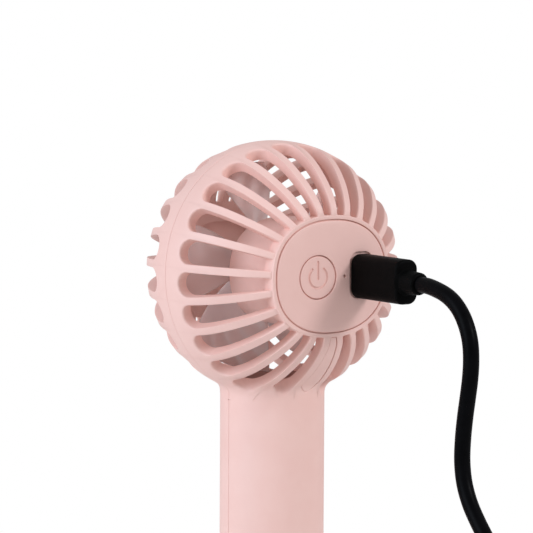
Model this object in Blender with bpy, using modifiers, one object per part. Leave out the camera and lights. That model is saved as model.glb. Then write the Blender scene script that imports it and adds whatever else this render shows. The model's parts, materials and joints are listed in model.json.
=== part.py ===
"""Handheld fan: a ball-shaped cage head on a straight battery handle, with its charging lead plugged in.

Frame: metres, +Z up the handle, origin at the middle of the flat base. The fan's axis runs along Y
through the ball's centre. Air leaves through the front (-Y); the button and the charging socket are
on the rear (+Y).
"""

import math

import bmesh
import bpy
from mathutils import Euler, Vector

MM = 0.001
GAP = 0.3 * MM                      # clearance left between pieces that touch

# ---- head: ball cage, split along the plane y = 0 -------------------------------------------------
BALL_RADIUS = 34.2 * MM
BALL_FLATTENING = 1.2 * MM          # how far the ball falls short of a sphere at the hub rim
HUB_RIM_ANGLE = math.radians(56)    # angle of the hub rim above the parting plane
SHELL_WALL = 2.4 * MM
TOTAL_HEIGHT = 171.9 * MM
HEAD = Vector((0, 0, TOTAL_HEIGHT - BALL_RADIUS))
HALF_PARTING_GAP = GAP / 2

# ---- slots of the cage ----------------------------------------------------------------------------
SLOT_COUNT = 25
RIB_SHIFT = 0.053                   # how far the ribs' spacing is drawn round to one side, in radians
COVERED_SLOT = 12                   # the slot at six o'clock is closed by the wire cover
RIB_WIDTH = 2.1 * MM
SLOT_OUTER_END = 5.8 * MM           # distance of a slot's round end from the parting plane
SLOT_CUT_INSIDE = 27 * MM           # radii between which the slot cutters reach
SLOT_CUT_OUTSIDE = 38 * MM

# ---- hub: everything rear of it is an oval that is wider than high ---------------------------------
OVAL_POWER = 2.3
HUB_RIM = (18.6 * MM, 16.1 * MM)    # half width, half height
CAP_SEAT = (17.5 * MM, 15.0 * MM)
CAP_OVAL = (17.2 * MM, 14.7 * MM)
LEDGE_OVAL = (13.4 * MM, 10.9 * MM)
HUB_FACE = 27.35 * MM               # distance of the rim's face from the parting plane
HUB_BACK = 23.4 * MM
LEDGE_FACE = 25.1 * MM
FRONT_HUB_BACK = 24.3 * MM
FRONT_SEAT_FLOOR = 26.2 * MM
CAP_BACK = 26.5 * MM
CAP_CROWN = 27.95 * MM

# ---- handle ---------------------------------------------------------------------------------------
HANDLE_RADIUS = 14 * MM
HANDLE_WALL = 2.2 * MM
BASE_CAP_HEIGHT = 3 * MM

# ---- motor pod and what it holds ------------------------------------------------------------------
POD_OVAL = (16.8 * MM, 14.3 * MM)
POD_BORE = (13.8 * MM, 11.3 * MM)
POD_FRONT = 3.0 * MM
POD_FLOOR = 4.6 * MM
POD_REAR = HUB_BACK - GAP
POST_RADIUS = 1.5 * MM
POSTS = ((11.6 * MM, 0.0), (-9.25 * MM, -7.0 * MM))
BOARD_HOLE_RADIUS = 0.95 * MM
POD_SCREWS = ((15.2 * MM, 0.0), (-15.2 * MM, 0.0), (0.0, 12.8 * MM))
BOARD_FRONT = 18.6 * MM
BOARD_REAR = 20.2 * MM
BOARD_OVAL = (13.4 * MM, 10.9 * MM)
MOTOR_RADIUS = 9.7 * MM
MOTOR_SCREW_X = 6 * MM
MOTOR_FRONT = 4.9 * MM
CAN_REAR = 15.0 * MM
BELL_REAR = 16.6 * MM
ARMATURE_MIDDLE = 10 * MM
SHAFT_RADIUS = 0.75 * MM

# ---- controls on the hub cap, x measured from the hub's middle --------------------------------------
BUTTON_X = 4.6 * MM
BUTTON_RADIUS = 5.55 * MM
LED_X = -3.9 * MM
SOCKET_X = -9.3 * MM
SOCKET_LONG, SOCKET_SHORT = 9.6 * MM, 4.0 * MM

# ---- impeller -------------------------------------------------------------------------------------
BLADE_COUNT = 5
BLADE_TIP = 28 * MM
IMPELLER_HUB = 8.5 * MM
IMPELLER_REAR = 1.2 * MM
IMPELLER_FRONT = -11 * MM
BLADE_SPAN = math.radians(50)       # angle that a blade covers about the axis
BLADE_LEAN = math.radians(14)       # how far its tip is turned past its root
BLADE_TIP_TAPER = 0.16
BLADE_ROOT_DEPTH = 11.0 * MM        # length along the axis at the root and at the tip
BLADE_TIP_DEPTH = 8.6 * MM
BLADE_MIDDLE = -5.2 * MM

# ---- charging lead --------------------------------------------------------------------------------
CORD_RADIUS = 2.1 * MM
PLUG_LONG, PLUG_SHORT = 11.7 * MM, 7.0 * MM
PLUG_FACE = 27.5 * MM
PLUG_BACK = 48.2 * MM
COLLAR_BACK = 54.0 * MM
COIL_CENTRE = Vector((8.2 * MM, 65.3 * MM, 0))
COIL_INNER = 15.4 * MM
COIL_OUTER = 28.3 * MM

# Route of the cord's hanging stretch in the plane x = SOCKET_X, as (y, z) in millimetres.
DROP_ROUTE = (
    (54.3, 137.4), (58.6, 137.1), (64.6, 135.8), (68.9, 133.8), (72.2, 130.9), (74.5, 127.3),
    (75.7, 123.6), (76.0, 119.3), (75.6, 114.8), (74.7, 110.0), (73.7, 105.0), (72.9, 99.3),
    (72.7, 93.6), (73.7, 88.2), (76.1, 83.3), (79.6, 78.9), (83.3, 74.9), (86.5, 70.4),
    (88.7, 65.0), (89.6, 58.8), (89.3, 52.0), (87.9, 44.8), (85.8, 37.4), (83.4, 30.0),
    (81.1, 23.0), (78.7, 16.6), (75.8, 11.0), (73.6, 8.2),
)
# Route of the short tail from the coil to the far plug, as (x, y, z) in millimetres.
TAIL_ROUTE = (
    (-18.4, 48.9, 2.1), (-19.6, 44.5, 2.2), (-21.7, 39.7, 2.6), (-23.6, 35.1, 3.1), (-24.5, 30.6, 3.4),
)
FAR_PLUG = Vector((-24.7 * MM, 29.7 * MM, 3.5 * MM))

# ---- finishes: colour, roughness, metallic ----------------------------------------------------------
PINK = ((0.78, 0.53, 0.51), 0.5, 0.0)
SMOKE = ((0.42, 0.30, 0.31), 0.25, 0.0)
BLACK = ((0.012, 0.012, 0.013), 0.55, 0.0)
STEEL = ((0.62, 0.62, 0.60), 0.3, 1.0)
NICKEL = ((0.70, 0.68, 0.63), 0.35, 1.0)
COPPER = ((0.72, 0.33, 0.16), 0.35, 1.0)
BRONZE = ((0.55, 0.36, 0.16), 0.45, 1.0)
FERRITE = ((0.06, 0.06, 0.065), 0.7, 0.0)
BOARD_GREEN = ((0.02, 0.16, 0.07), 0.5, 0.0)
FOAM = ((0.10, 0.10, 0.11), 0.95, 0.0)
CELL_BLUE = ((0.04, 0.16, 0.42), 0.35, 0.0)
RED = ((0.55, 0.02, 0.02), 0.5, 0.0)
WHITE = ((0.85, 0.83, 0.78), 0.4, 0.0)

REAR = Euler((-math.pi / 2, 0, 0))  # turns a local Z axis to +Y
FRONT = Euler((math.pi / 2, 0, 0))  # turns a local Z axis to -Y
UP = Euler((0, 0, 0))

for leftover in list(bpy.data.objects):
    bpy.data.objects.remove(leftover, do_unlink=True)
PARTS = bpy.data.collections.new("handheld_fan")
CUTTERS = bpy.data.collections.new("cutters")
for group in (PARTS, CUTTERS):
    bpy.context.scene.collection.children.link(group)


# ---- general tools ----------------------------------------------------------------------------------
def finish_with(item, finish):
    """Give an object its own Principled material."""
    colour, roughness, metallic = finish
    material = bpy.data.materials.new(item.name + "_finish")
    material.use_nodes = True
    shader = material.node_tree.nodes["Principled BSDF"]
    shader.inputs["Base Color"].default_value = (*colour, 1)
    shader.inputs["Roughness"].default_value = roughness
    shader.inputs["Metallic"].default_value = metallic
    item.data.materials.append(material)


def place(item, finish, spot, turn=UP, joint=None):
    """Put an object in its collection at a world spot; finish None makes it a cutter."""
    (PARTS if finish else CUTTERS).objects.link(item)
    if finish:
        finish_with(item, finish)
    else:
        item.hide_render = True
        item.display_type = "WIRE"
    item.location = Vector(spot) - (joint.location if joint else Vector())
    item.rotation_euler = turn
    item.parent = joint
    return item


def joint_axis(name, spot):
    """An empty on a joint's axis, to carry the pieces that move with it."""
    empty = bpy.data.objects.new(name, None)
    PARTS.objects.link(empty)
    empty.location = spot
    return empty


def combine(target, tool, operation):
    """Boolean the tool into the target; a tool made for this is hidden away as a cutter."""
    modifier = target.modifiers.new(operation.lower(), "BOOLEAN")
    modifier.operation = operation
    modifier.object = tool
    modifier.solver = "EXACT"


def on_axis(x=0.0, along=0.0, z=0.0):
    """A point given from the ball's centre."""
    return HEAD + Vector((x, along, z))


def rod(name, finish, radius, start, end, sides=16, joint=None, tip=None):
    """Round bar between two points, or a cone when tip gives another end radius."""
    start, end = Vector(start), Vector(end)
    mesh = bpy.data.meshes.new(name)
    shape = bmesh.new()
    bmesh.ops.create_cone(
        shape, cap_ends=True, segments=sides, radius1=radius,
        radius2=radius if tip is None else tip, depth=(end - start).length,
    )
    shape.to_mesh(mesh)
    shape.free()
    mesh.shade_smooth()
    mesh.set_sharp_from_angle(angle=math.radians(40))
    turn = (end - start).to_track_quat("Z", "Y").to_euler()
    return place(bpy.data.objects.new(name, mesh), finish, (start + end) / 2, turn, joint)


def block(name, finish, size, centre, turn=UP, joint=None):
    """Plain box, its size applied to the mesh."""
    mesh = bpy.data.meshes.new(name)
    shape = bmesh.new()
    bmesh.ops.create_cube(shape, size=1)
    bmesh.ops.scale(shape, vec=size, verts=shape.verts)
    shape.to_mesh(mesh)
    shape.free()
    return place(bpy.data.objects.new(name, mesh), finish, centre, turn, joint)


def turned(name, finish, profile, spot, turn, steps=32, joint=None):
    """Turn a profile of (radius, height) about the local Z axis.

    The profile runs down the outer side from the top. One that starts and ends on the axis makes a
    solid, and any other is closed into a loop and makes a ring.
    """
    mesh = bpy.data.meshes.new(name)
    points = [(radius, 0, height) for radius, height in profile]
    edges = [(i, i + 1) for i in range(len(points) - 1)]
    if profile[0][0] > 0:
        edges.append((len(points) - 1, 0))
    mesh.from_pydata(points, edges, [])
    item = place(bpy.data.objects.new(name, mesh), finish, spot, turn, joint)
    screw = item.modifiers.new("turn", "SCREW")
    screw.axis = "Z"
    screw.angle = 2 * math.pi
    screw.steps = screw.render_steps = steps
    screw.use_merge_vertices = True
    screw.merge_threshold = 0.00001
    screw.use_smooth_shade = True
    return item


def slab(name, finish, outlines, thickness, centre, turn=FRONT, joint=None):
    """Flat piece from closed outlines; an outline inside another is a hole.

    The outlines lie in the local XY plane, which the default turn stands up as world X and Z.
    """
    curve = bpy.data.curves.new(name, "CURVE")
    curve.dimensions = "2D"
    curve.fill_mode = "BOTH"
    curve.extrude = thickness / 2
    for outline in outlines:
        spline = curve.splines.new("POLY")
        spline.points.add(len(outline) - 1)
        for point, (x, y) in zip(spline.points, outline):
            point.co = (x, y, 0, 1)
        spline.use_cyclic_u = True
    drawn = place(bpy.data.objects.new(name + "_outline", curve), finish, centre, turn, joint)
    return as_mesh(drawn, name)


def as_mesh(drawn, name):
    """Swap a curve object for a welded mesh object of the same place, finish and parent."""
    bpy.context.view_layer.update()
    evaluated = drawn.evaluated_get(bpy.context.evaluated_depsgraph_get())
    mesh = bpy.data.meshes.new_from_object(evaluated)
    shape = bmesh.new()
    shape.from_mesh(mesh)
    bmesh.ops.remove_doubles(shape, verts=shape.verts, dist=0.000001)
    bmesh.ops.recalc_face_normals(shape, faces=shape.faces)
    if shape.calc_volume(signed=True) < 0:
        bmesh.ops.reverse_faces(shape, faces=shape.faces)
    shape.to_mesh(mesh)
    shape.free()
    item = bpy.data.objects.new(name, mesh)
    drawn.users_collection[0].objects.link(item)
    item.parent = drawn.parent
    item.matrix_world = drawn.matrix_world
    item.hide_render = drawn.hide_render
    item.display_type = drawn.display_type
    bpy.data.objects.remove(drawn, do_unlink=True)
    return item


def tube(name, finish, points, radius, joint=None):
    """Round cord through closely spaced points."""
    spot = points[0]
    curve = bpy.data.curves.new(name, "CURVE")
    curve.dimensions = "3D"
    curve.bevel_depth = radius
    curve.bevel_resolution = 2
    curve.use_fill_caps = True
    spline = curve.splines.new("POLY")
    spline.points.add(len(points) - 1)
    for point, place_along in zip(spline.points, points):
        point.co = (*(place_along - spot), 1)
    drawn = place(bpy.data.objects.new(name + "_line", curve), finish, spot, UP, joint)
    return as_mesh(drawn, name)


def smooth_route(knots, spacing):
    """Points about a spacing apart on the smooth curve that passes through the knots."""
    ends = [2 * knots[0] - knots[1], *knots, 2 * knots[-1] - knots[-2]]
    points = []
    for before, start, end, after in zip(ends, ends[1:], ends[2:], ends[3:]):
        count = max(1, round((end - start).length / spacing))
        for i in range(count):
            t = i / count
            points.append(0.5 * (
                2 * start + (end - before) * t
                + (2 * before - 5 * start + 4 * end - after) * t ** 2
                + (3 * start - before - 3 * end + after) * t ** 3
            ))
    return [*points, knots[-1]]


# ---- outlines ---------------------------------------------------------------------------------------
def oval(halves, count=36):
    """Closed oval with fuller corners than an ellipse."""
    angles = [2 * math.pi * i / count for i in range(count)]
    return [
        (oval_radius(halves, angle) * math.sin(angle), oval_radius(halves, angle) * math.cos(angle))
        for angle in angles
    ]


def oval_radius(halves, angle):
    """Distance of the oval's edge from its middle, at an angle from twelve o'clock."""
    across = abs(math.sin(angle) / halves[0]) ** OVAL_POWER
    upward = abs(math.cos(angle) / halves[1]) ** OVAL_POWER
    return (across + upward) ** (-1 / OVAL_POWER)


def circle(radius, x=0.0, y=0.0, count=16):
    angles = [2 * math.pi * i / count for i in range(count)]
    return [(x + radius * math.cos(a), y + radius * math.sin(a)) for a in angles]


def rounded_bar(width, height, corner, x=0.0, y=0.0, count=5):
    """Closed rectangle with round corners; a corner of half the width makes an obround."""
    points = []
    for quarter in range(4):
        side_x = 1 if quarter in (0, 3) else -1
        side_y = 1 if quarter in (0, 1) else -1
        for i in range(count):
            angle = math.pi / 2 * (quarter + i / (count - 1))
            points.append((
                x + side_x * (width / 2 - corner) + corner * math.cos(angle),
                y + side_y * (height / 2 - corner) + corner * math.sin(angle),
            ))
    return points


def arc_band(inner, outer, middle, spread, count=10):
    """Closed band between two radii, spread evenly about a middle angle from the X axis."""
    angles = [middle - spread / 2 + spread * i / (count - 1) for i in range(count)]
    outside = [(outer * math.cos(a), outer * math.sin(a)) for a in angles]
    inside = [(inner * math.cos(a), inner * math.sin(a)) for a in reversed(angles)]
    return outside + inside


# ---- cage -------------------------------------------------------------------------------------------
def ball_radius(angle):
    """Radius of the ball at an angle above the parting plane: a sphere that flattens to the hub."""
    return BALL_RADIUS - BALL_FLATTENING * (angle / HUB_RIM_ANGLE) ** 2


def cage_profile(hub_back):
    """Cross-section of half the ball wall, from the hub rim down to the parting plane and back."""
    count = 6
    lowest = math.asin(HALF_PARTING_GAP / BALL_RADIUS)
    angles = [HUB_RIM_ANGLE + (lowest - HUB_RIM_ANGLE) * i / (count - 1) for i in range(count)]
    outer = [(ball_radius(a) * math.cos(a), ball_radius(a) * math.sin(a)) for a in angles]
    outer[-1] = (BALL_RADIUS, HALF_PARTING_GAP)
    wall = [(BALL_RADIUS - SHELL_WALL, HALF_PARTING_GAP)]
    for angle in reversed(angles[:-1]):
        radius = ball_radius(angle) - SHELL_WALL
        if radius * math.sin(angle) < hub_back:
            wall.append((radius * math.cos(angle), radius * math.sin(angle)))
    inner_rim = 10 * MM
    wall.append((HUB_RIM[0] + 0.9 * MM, hub_back))
    return [(inner_rim, HUB_FACE - 0.1 * MM), *outer, *wall, (inner_rim, hub_back)]


def slot_span(number):
    """A slot's angle from twelve o'clock, and half the angle between its two ribs.

    The ribs fan out from a point a little beside the cap's middle, so they stand closer on one side.
    """
    first, last = (
        even - RIB_SHIFT * math.cos(even)
        for even in (2 * math.pi * number / SLOT_COUNT, 2 * math.pi * (number + 1) / SLOT_COUNT)
    )
    return (first + last) / 2, (last - first) / 2


def slot_end(clock, radius=BALL_RADIUS):
    """Distance of a slot's end from the parting plane; it stops short of the handle."""
    across = radius * math.sin(clock)
    if math.cos(clock) > 0 or abs(across) > HANDLE_RADIUS:
        return SLOT_OUTER_END
    return max(SLOT_OUTER_END, math.sqrt(HANDLE_RADIUS ** 2 - across ** 2) - 1.3 * MM)


def slot_outline(clock, half_pitch, inset=0.0):
    """Edge of one slot as (angle above the parting plane, clock angle): wedge with a round end."""

    def half_width(angle):
        return BALL_RADIUS * math.cos(angle) * half_pitch - RIB_WIDTH / 2 - inset

    end = math.asin(slot_end(clock) / BALL_RADIUS)
    middle = end
    for _ in range(4):
        middle = end + (half_width(middle) + inset) / BALL_RADIUS
    round_end = half_width(middle)
    inner = HUB_RIM_ANGLE + math.radians(8) - inset / BALL_RADIUS
    side = [inner + (middle - inner) * i / 3 for i in range(4)]
    points = [(angle, half_width(angle)) for angle in side]
    for i in range(1, 5):
        sweep = math.pi * i / 5
        points.append((middle - round_end * math.sin(sweep) / BALL_RADIUS, round_end * math.cos(sweep)))
    points += [(angle, -half_width(angle)) for angle in reversed(side)]
    return [(angle, clock + across / (BALL_RADIUS * math.cos(angle))) for angle, across in points]


def slot_wedges(name, finish, side, numbers, inside, outside, inset=0.0):
    """Wedges that fill slots, with walls that run towards the ball's centre."""
    mesh = bpy.data.meshes.new(name)
    shape = bmesh.new()
    for number in numbers:
        outline = slot_outline(*slot_span(number), inset)
        rings = []
        for reach in (inside, outside):
            rings.append([
                shape.verts.new(reach * Vector((
                    math.cos(angle) * math.sin(clock),
                    side * math.sin(angle),
                    math.cos(angle) * math.cos(clock),
                )))
                for angle, clock in outline
            ])
        for i, corner in enumerate(rings[0]):
            following = (i + 1) % len(outline)
            shape.faces.new((corner, rings[0][following], rings[1][following], rings[1][i]))
        shape.faces.new(rings[0])
        shape.faces.new(rings[1])
    bmesh.ops.recalc_face_normals(shape, faces=shape.faces)
    shape.to_mesh(mesh)
    shape.free()
    return place(bpy.data.objects.new(name, mesh), finish, HEAD)


def handle_half(side):
    """Half of the handle tube, flared where it runs into the ball."""
    below_ball = HEAD.z - BALL_RADIUS
    outer = HANDLE_RADIUS
    inner = HANDLE_RADIUS - HANDLE_WALL
    foot = BASE_CAP_HEIGHT + GAP
    profile = [
        (inner, below_ball + 4.6 * MM), (outer + 3.4 * MM, below_ball + 4.2 * MM),
        (outer + 3.4 * MM, below_ball + 3.6 * MM), (outer + 1.5 * MM, below_ball + 1.6 * MM),
        (outer + 0.5 * MM, below_ball - 0.4 * MM), (outer, below_ball - 3 * MM),
        (outer, foot), (inner, foot),
    ]
    tag = "rear" if side > 0 else "front"
    handle = turned(f"{tag}_handle_tube", None, profile, (0, 0, 0), UP, steps=40)
    reach = 2 * TOTAL_HEIGHT
    other_half = block(
        f"{tag}_other_half", None, (reach, reach, reach),
        (0, side * (HALF_PARTING_GAP - reach / 2), reach / 4),
    )
    combine(handle, other_half, "DIFFERENCE")
    return handle


def half_shell(side, hub_back):
    """One moulding of the clamshell: half the ball cage and half the handle."""
    tag, turn = ("rear", REAR) if side > 0 else ("front", FRONT)
    shell = turned(f"{tag}_shell", PINK, cage_profile(hub_back), HEAD, turn, steps=56)
    combine(shell, handle_half(side), "UNION")
    slots = slot_wedges(f"{tag}_slots", None, side, range(SLOT_COUNT), SLOT_CUT_INSIDE, SLOT_CUT_OUTSIDE)
    combine(shell, slots, "DIFFERENCE")
    rim_back = hub_back - 0.05 * MM
    hub = slab(
        f"{tag}_hub", None, [oval(HUB_RIM, 48)], HUB_FACE - rim_back,
        on_axis(along=side * (HUB_FACE + rim_back) / 2),
    )
    combine(shell, hub, "UNION")
    return shell


def seat_cutter(shell, side, halves, floor):
    """Sink an oval seat into a hub, from its face down to a floor."""
    depth = HUB_FACE - floor + 1 * MM
    tag = f"{shell.name}_seat_{round(halves[0] / MM)}"
    cutter = slab(tag, None, [oval(halves)], depth, on_axis(along=side * (floor + depth / 2)))
    combine(shell, cutter, "DIFFERENCE")


def drill(target, x, z, radius, start, end, tag):
    """Round hole along the fan's axis."""
    cutter = rod(f"{target.name}_{tag}", None, radius, on_axis(x, start, z), on_axis(x, end, z), sides=14)
    combine(target, cutter, "DIFFERENCE")


def make_rear_shell():
    shell = half_shell(1, HUB_BACK)
    seat_cutter(shell, 1, CAP_SEAT, LEDGE_FACE)
    seat_cutter(shell, 1, LEDGE_OVAL, HUB_BACK - 1 * MM)
    for number, (x, z) in enumerate(POD_SCREWS, 1):
        drill(shell, x, z, 1.1 * MM, HUB_BACK - 1 * MM, LEDGE_FACE + 0.5 * MM, f"screw_hole_{number}")
    wire_x, wire_y = -2.2 * MM, 5 * MM
    throat_foot, throat_top = HEAD.z - 37 * MM, HEAD.z - 27 * MM
    throat = rod("wire_throat", None, 3.8 * MM, (wire_x, wire_y, throat_foot), (wire_x, wire_y, throat_top))
    combine(shell, throat, "DIFFERENCE")


def make_front_shell():
    shell = half_shell(-1, FRONT_HUB_BACK)
    seat_cutter(shell, -1, CAP_SEAT, FRONT_SEAT_FLOOR)


def hub_plate(name, side):
    """Slightly domed oval plate that closes a hub."""
    crown = [(0, CAP_CROWN), (6 * MM, CAP_CROWN - 0.07 * MM), (12 * MM, CAP_CROWN - 0.27 * MM)]
    edge = HUB_RIM[0]
    rim = [(edge, CAP_CROWN - 0.6 * MM), (edge, CAP_BACK), (0, CAP_BACK)]
    plate = turned(name, PINK, crown + rim, HEAD, REAR if side > 0 else FRONT, steps=24)
    shape = slab(f"{name}_shape", None, [oval(CAP_OVAL)], 8 * MM, on_axis(along=side * CAP_BACK))
    combine(plate, shape, "INTERSECT")
    return plate


def make_hub_cap():
    cap = hub_plate("hub_cap", 1)
    drill(cap, BUTTON_X, 0, BUTTON_RADIUS + GAP, CAP_BACK - 1 * MM, CAP_CROWN + 1 * MM, "button_hole")
    drill(cap, LED_X, 0, 0.45 * MM, CAP_BACK - 1 * MM, CAP_CROWN + 1 * MM, "indicator_hole")
    mouth = rounded_bar(SOCKET_SHORT + 2 * GAP, SOCKET_LONG + 2 * GAP, 2 * MM)
    opening = slab("socket_opening", None, [mouth], 6 * MM, on_axis(SOCKET_X, CAP_BACK))
    recess_floor, recess_height = CAP_BACK + 0.5 * MM, 4 * MM
    recess = slab(
        "plug_recess", None, [rounded_bar(PLUG_SHORT + 1 * MM, PLUG_LONG + 1 * MM, 3.2 * MM)],
        recess_height, on_axis(SOCKET_X, recess_floor + recess_height / 2),
    )
    combine(cap, opening, "DIFFERENCE")
    combine(cap, recess, "DIFFERENCE")


def make_wire_cover():
    """Panel that closes the slot at six o'clock and hides the wires behind it."""
    cover = slot_wedges(
        "wire_cover", PINK, 1, (COVERED_SLOT,), SLOT_CUT_INSIDE, SLOT_CUT_OUTSIDE, inset=GAP
    )
    sunk, thickness = 0.5 * MM, 1.7 * MM
    angles = [math.radians(75 - 10 * i) for i in range(8)]

    def arc(depth):
        radii = [ball_radius(angle) - depth for angle in angles]
        return [(r * math.cos(angle), r * math.sin(angle)) for r, angle in zip(radii, angles)]

    skin = turned("wire_cover_skin", None, arc(sunk) + arc(sunk + thickness)[::-1], HEAD, REAR, steps=48)
    combine(cover, skin, "INTERSECT")
    room = oval(tuple(half + GAP for half in HUB_RIM), 48)
    hub_room = slab("wire_cover_hub_room", None, [room], 20 * MM, on_axis(along=HUB_FACE))
    combine(cover, hub_room, "DIFFERENCE")


# ---- pod, board and controls ------------------------------------------------------------------------
def make_motor_pod():
    middle = (POD_REAR + POD_FRONT) / 2
    pod = slab("motor_pod", PINK, [oval(POD_OVAL)], POD_REAR - POD_FRONT, on_axis(along=middle))
    bore_depth = POD_REAR - POD_FLOOR + 1 * MM
    bore = slab("pod_bore", None, [oval(POD_BORE)], bore_depth, on_axis(along=POD_FLOOR + bore_depth / 2))
    combine(pod, bore, "DIFFERENCE")
    for number, (x, z) in enumerate(POSTS, 1):
        post = rod(
            f"pod_post_{number}", None, POST_RADIUS, on_axis(x, POD_FRONT + 0.5 * MM, z),
            on_axis(x, BOARD_FRONT - GAP, z), sides=14,
        )
        combine(pod, post, "UNION")
        drill(pod, x, z, 1.0 * MM, BOARD_FRONT - 7 * MM, BOARD_FRONT + 1 * MM, f"post_hole_{number}")
    for number, (x, z) in enumerate(POD_SCREWS, 1):
        drill(pod, x, z, 1.1 * MM, POD_REAR - 6 * MM, POD_REAR + 1 * MM, f"screw_hole_{number}")
    drill(pod, 0, 0, 2.6 * MM, POD_FRONT - 1 * MM, POD_FLOOR + 1 * MM, "shaft_hole")
    for side in (-1, 1):
        tag = f"motor_hole_{side + 2}"
        drill(pod, side * MOTOR_SCREW_X, 0, 1.0 * MM, POD_FRONT - 1 * MM, POD_FLOOR + 1 * MM, tag)
    notch_size = (6 * MM, 8 * MM, 8 * MM)
    notch = block("pod_wire_notch", None, notch_size, on_axis(0, POD_REAR, -POD_OVAL[1]))
    combine(pod, notch, "DIFFERENCE")


def screw(name, x, z, shank, start, seat):
    """Pan-head screw along the fan's axis: shank from start to the seat, then the head."""
    length = abs(seat - start)
    head, head_height = 2.1 * shank, 0.8 * MM
    profile = [
        (0, length + head_height), (head * 0.8, length + head_height), (head, length + head_height * 0.6),
        (head, length), (shank, length), (shank, 0), (0, 0),
    ]
    turned(name, STEEL, profile, on_axis(x, start, z), REAR if seat > start else FRONT, steps=12)


def make_screws():
    for number, (x, z) in enumerate(POD_SCREWS, 1):
        screw(f"pod_screw_{number}", x, z, 0.8 * MM, POD_REAR - 5 * MM, LEDGE_FACE + GAP / 2)
    for number, (x, z) in enumerate(POSTS, 1):
        screw(f"board_screw_{number}", x, z, BOARD_HOLE_RADIUS - GAP, BOARD_FRONT - 6 * MM, BOARD_REAR + GAP / 2)
    for number, x in enumerate((-MOTOR_SCREW_X, MOTOR_SCREW_X), 1):
        screw(f"motor_screw_{number}", x, 0, 0.7 * MM, MOTOR_FRONT + 0.4 * MM, POD_FRONT - GAP / 2)


def make_board():
    outlines = [oval(BOARD_OVAL)] + [circle(BOARD_HOLE_RADIUS, x, z, 14) for x, z in POSTS]
    thickness = BOARD_REAR - BOARD_FRONT
    slab("control_board", BOARD_GREEN, outlines, thickness, on_axis(along=BOARD_REAR - thickness / 2))
    under_board, on_board = BOARD_FRONT - GAP, BOARD_REAR + GAP
    for name, finish, size, x, z, under in (
        ("charge_chip", FERRITE, (4 * MM, 0.9 * MM, 4 * MM), 0.5 * MM, -6.5 * MM, True),
        ("power_inductor", FERRITE, (3 * MM, 1.8 * MM, 3 * MM), 5 * MM, -7.4 * MM, False),
        ("status_led", WHITE, (1.6 * MM, 0.7 * MM, 0.8 * MM), LED_X, 0, False),
    ):
        along = under_board - size[1] / 2 if under else on_board + size[1] / 2
        block(name, finish, size, on_axis(x, along, z))
    socket_rear = CAP_BACK - 0.2 * MM
    wall = 0.4 * MM
    slab(
        "usb_socket", STEEL,
        [rounded_bar(SOCKET_SHORT, SOCKET_LONG, SOCKET_SHORT / 2 - 0.01 * MM),
         rounded_bar(SOCKET_SHORT - 2 * wall, SOCKET_LONG - 2 * wall, SOCKET_SHORT / 2 - wall - 0.01 * MM)],
        socket_rear - on_board, on_axis(SOCKET_X, (socket_rear + on_board) / 2),
    )
    tongue = 4.6 * MM
    block("usb_tongue", FERRITE, (0.7 * MM, tongue, 6.2 * MM), on_axis(SOCKET_X, on_board + tongue / 2))
    switch = slab(
        "switch_body", FERRITE, [rounded_bar(6 * MM, 6 * MM, 0.5 * MM)], 2.7 * MM,
        on_axis(BUTTON_X, on_board + 1.35 * MM),
    )
    drill(switch, BUTTON_X, 0, 1.5 * MM, on_board + 0.5 * MM, on_board + 4 * MM, "plunger_hole")


def make_button(joint):
    crown = CAP_CROWN - 0.1 * MM
    flange = BUTTON_RADIUS + 0.85 * MM
    flange_rear, flange_front = CAP_BACK - 0.4 * MM, CAP_BACK - 1.9 * MM
    profile = [
        (0, crown), (BUTTON_RADIUS - 0.2 * MM, crown), (BUTTON_RADIUS, crown - 0.2 * MM),
        (BUTTON_RADIUS, flange_rear), (flange, flange_rear), (flange, flange_front), (0, flange_front),
    ]
    turned("power_button", PINK, profile, on_axis(BUTTON_X), REAR, steps=28, joint=joint)
    plunger_front, plunger_rear = BOARD_REAR + 1.6 * MM, flange_front - GAP
    rod(
        "switch_plunger", WHITE, 1.2 * MM, on_axis(BUTTON_X, plunger_front), on_axis(BUTTON_X, plunger_rear),
        sides=14, joint=joint,
    )


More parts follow.
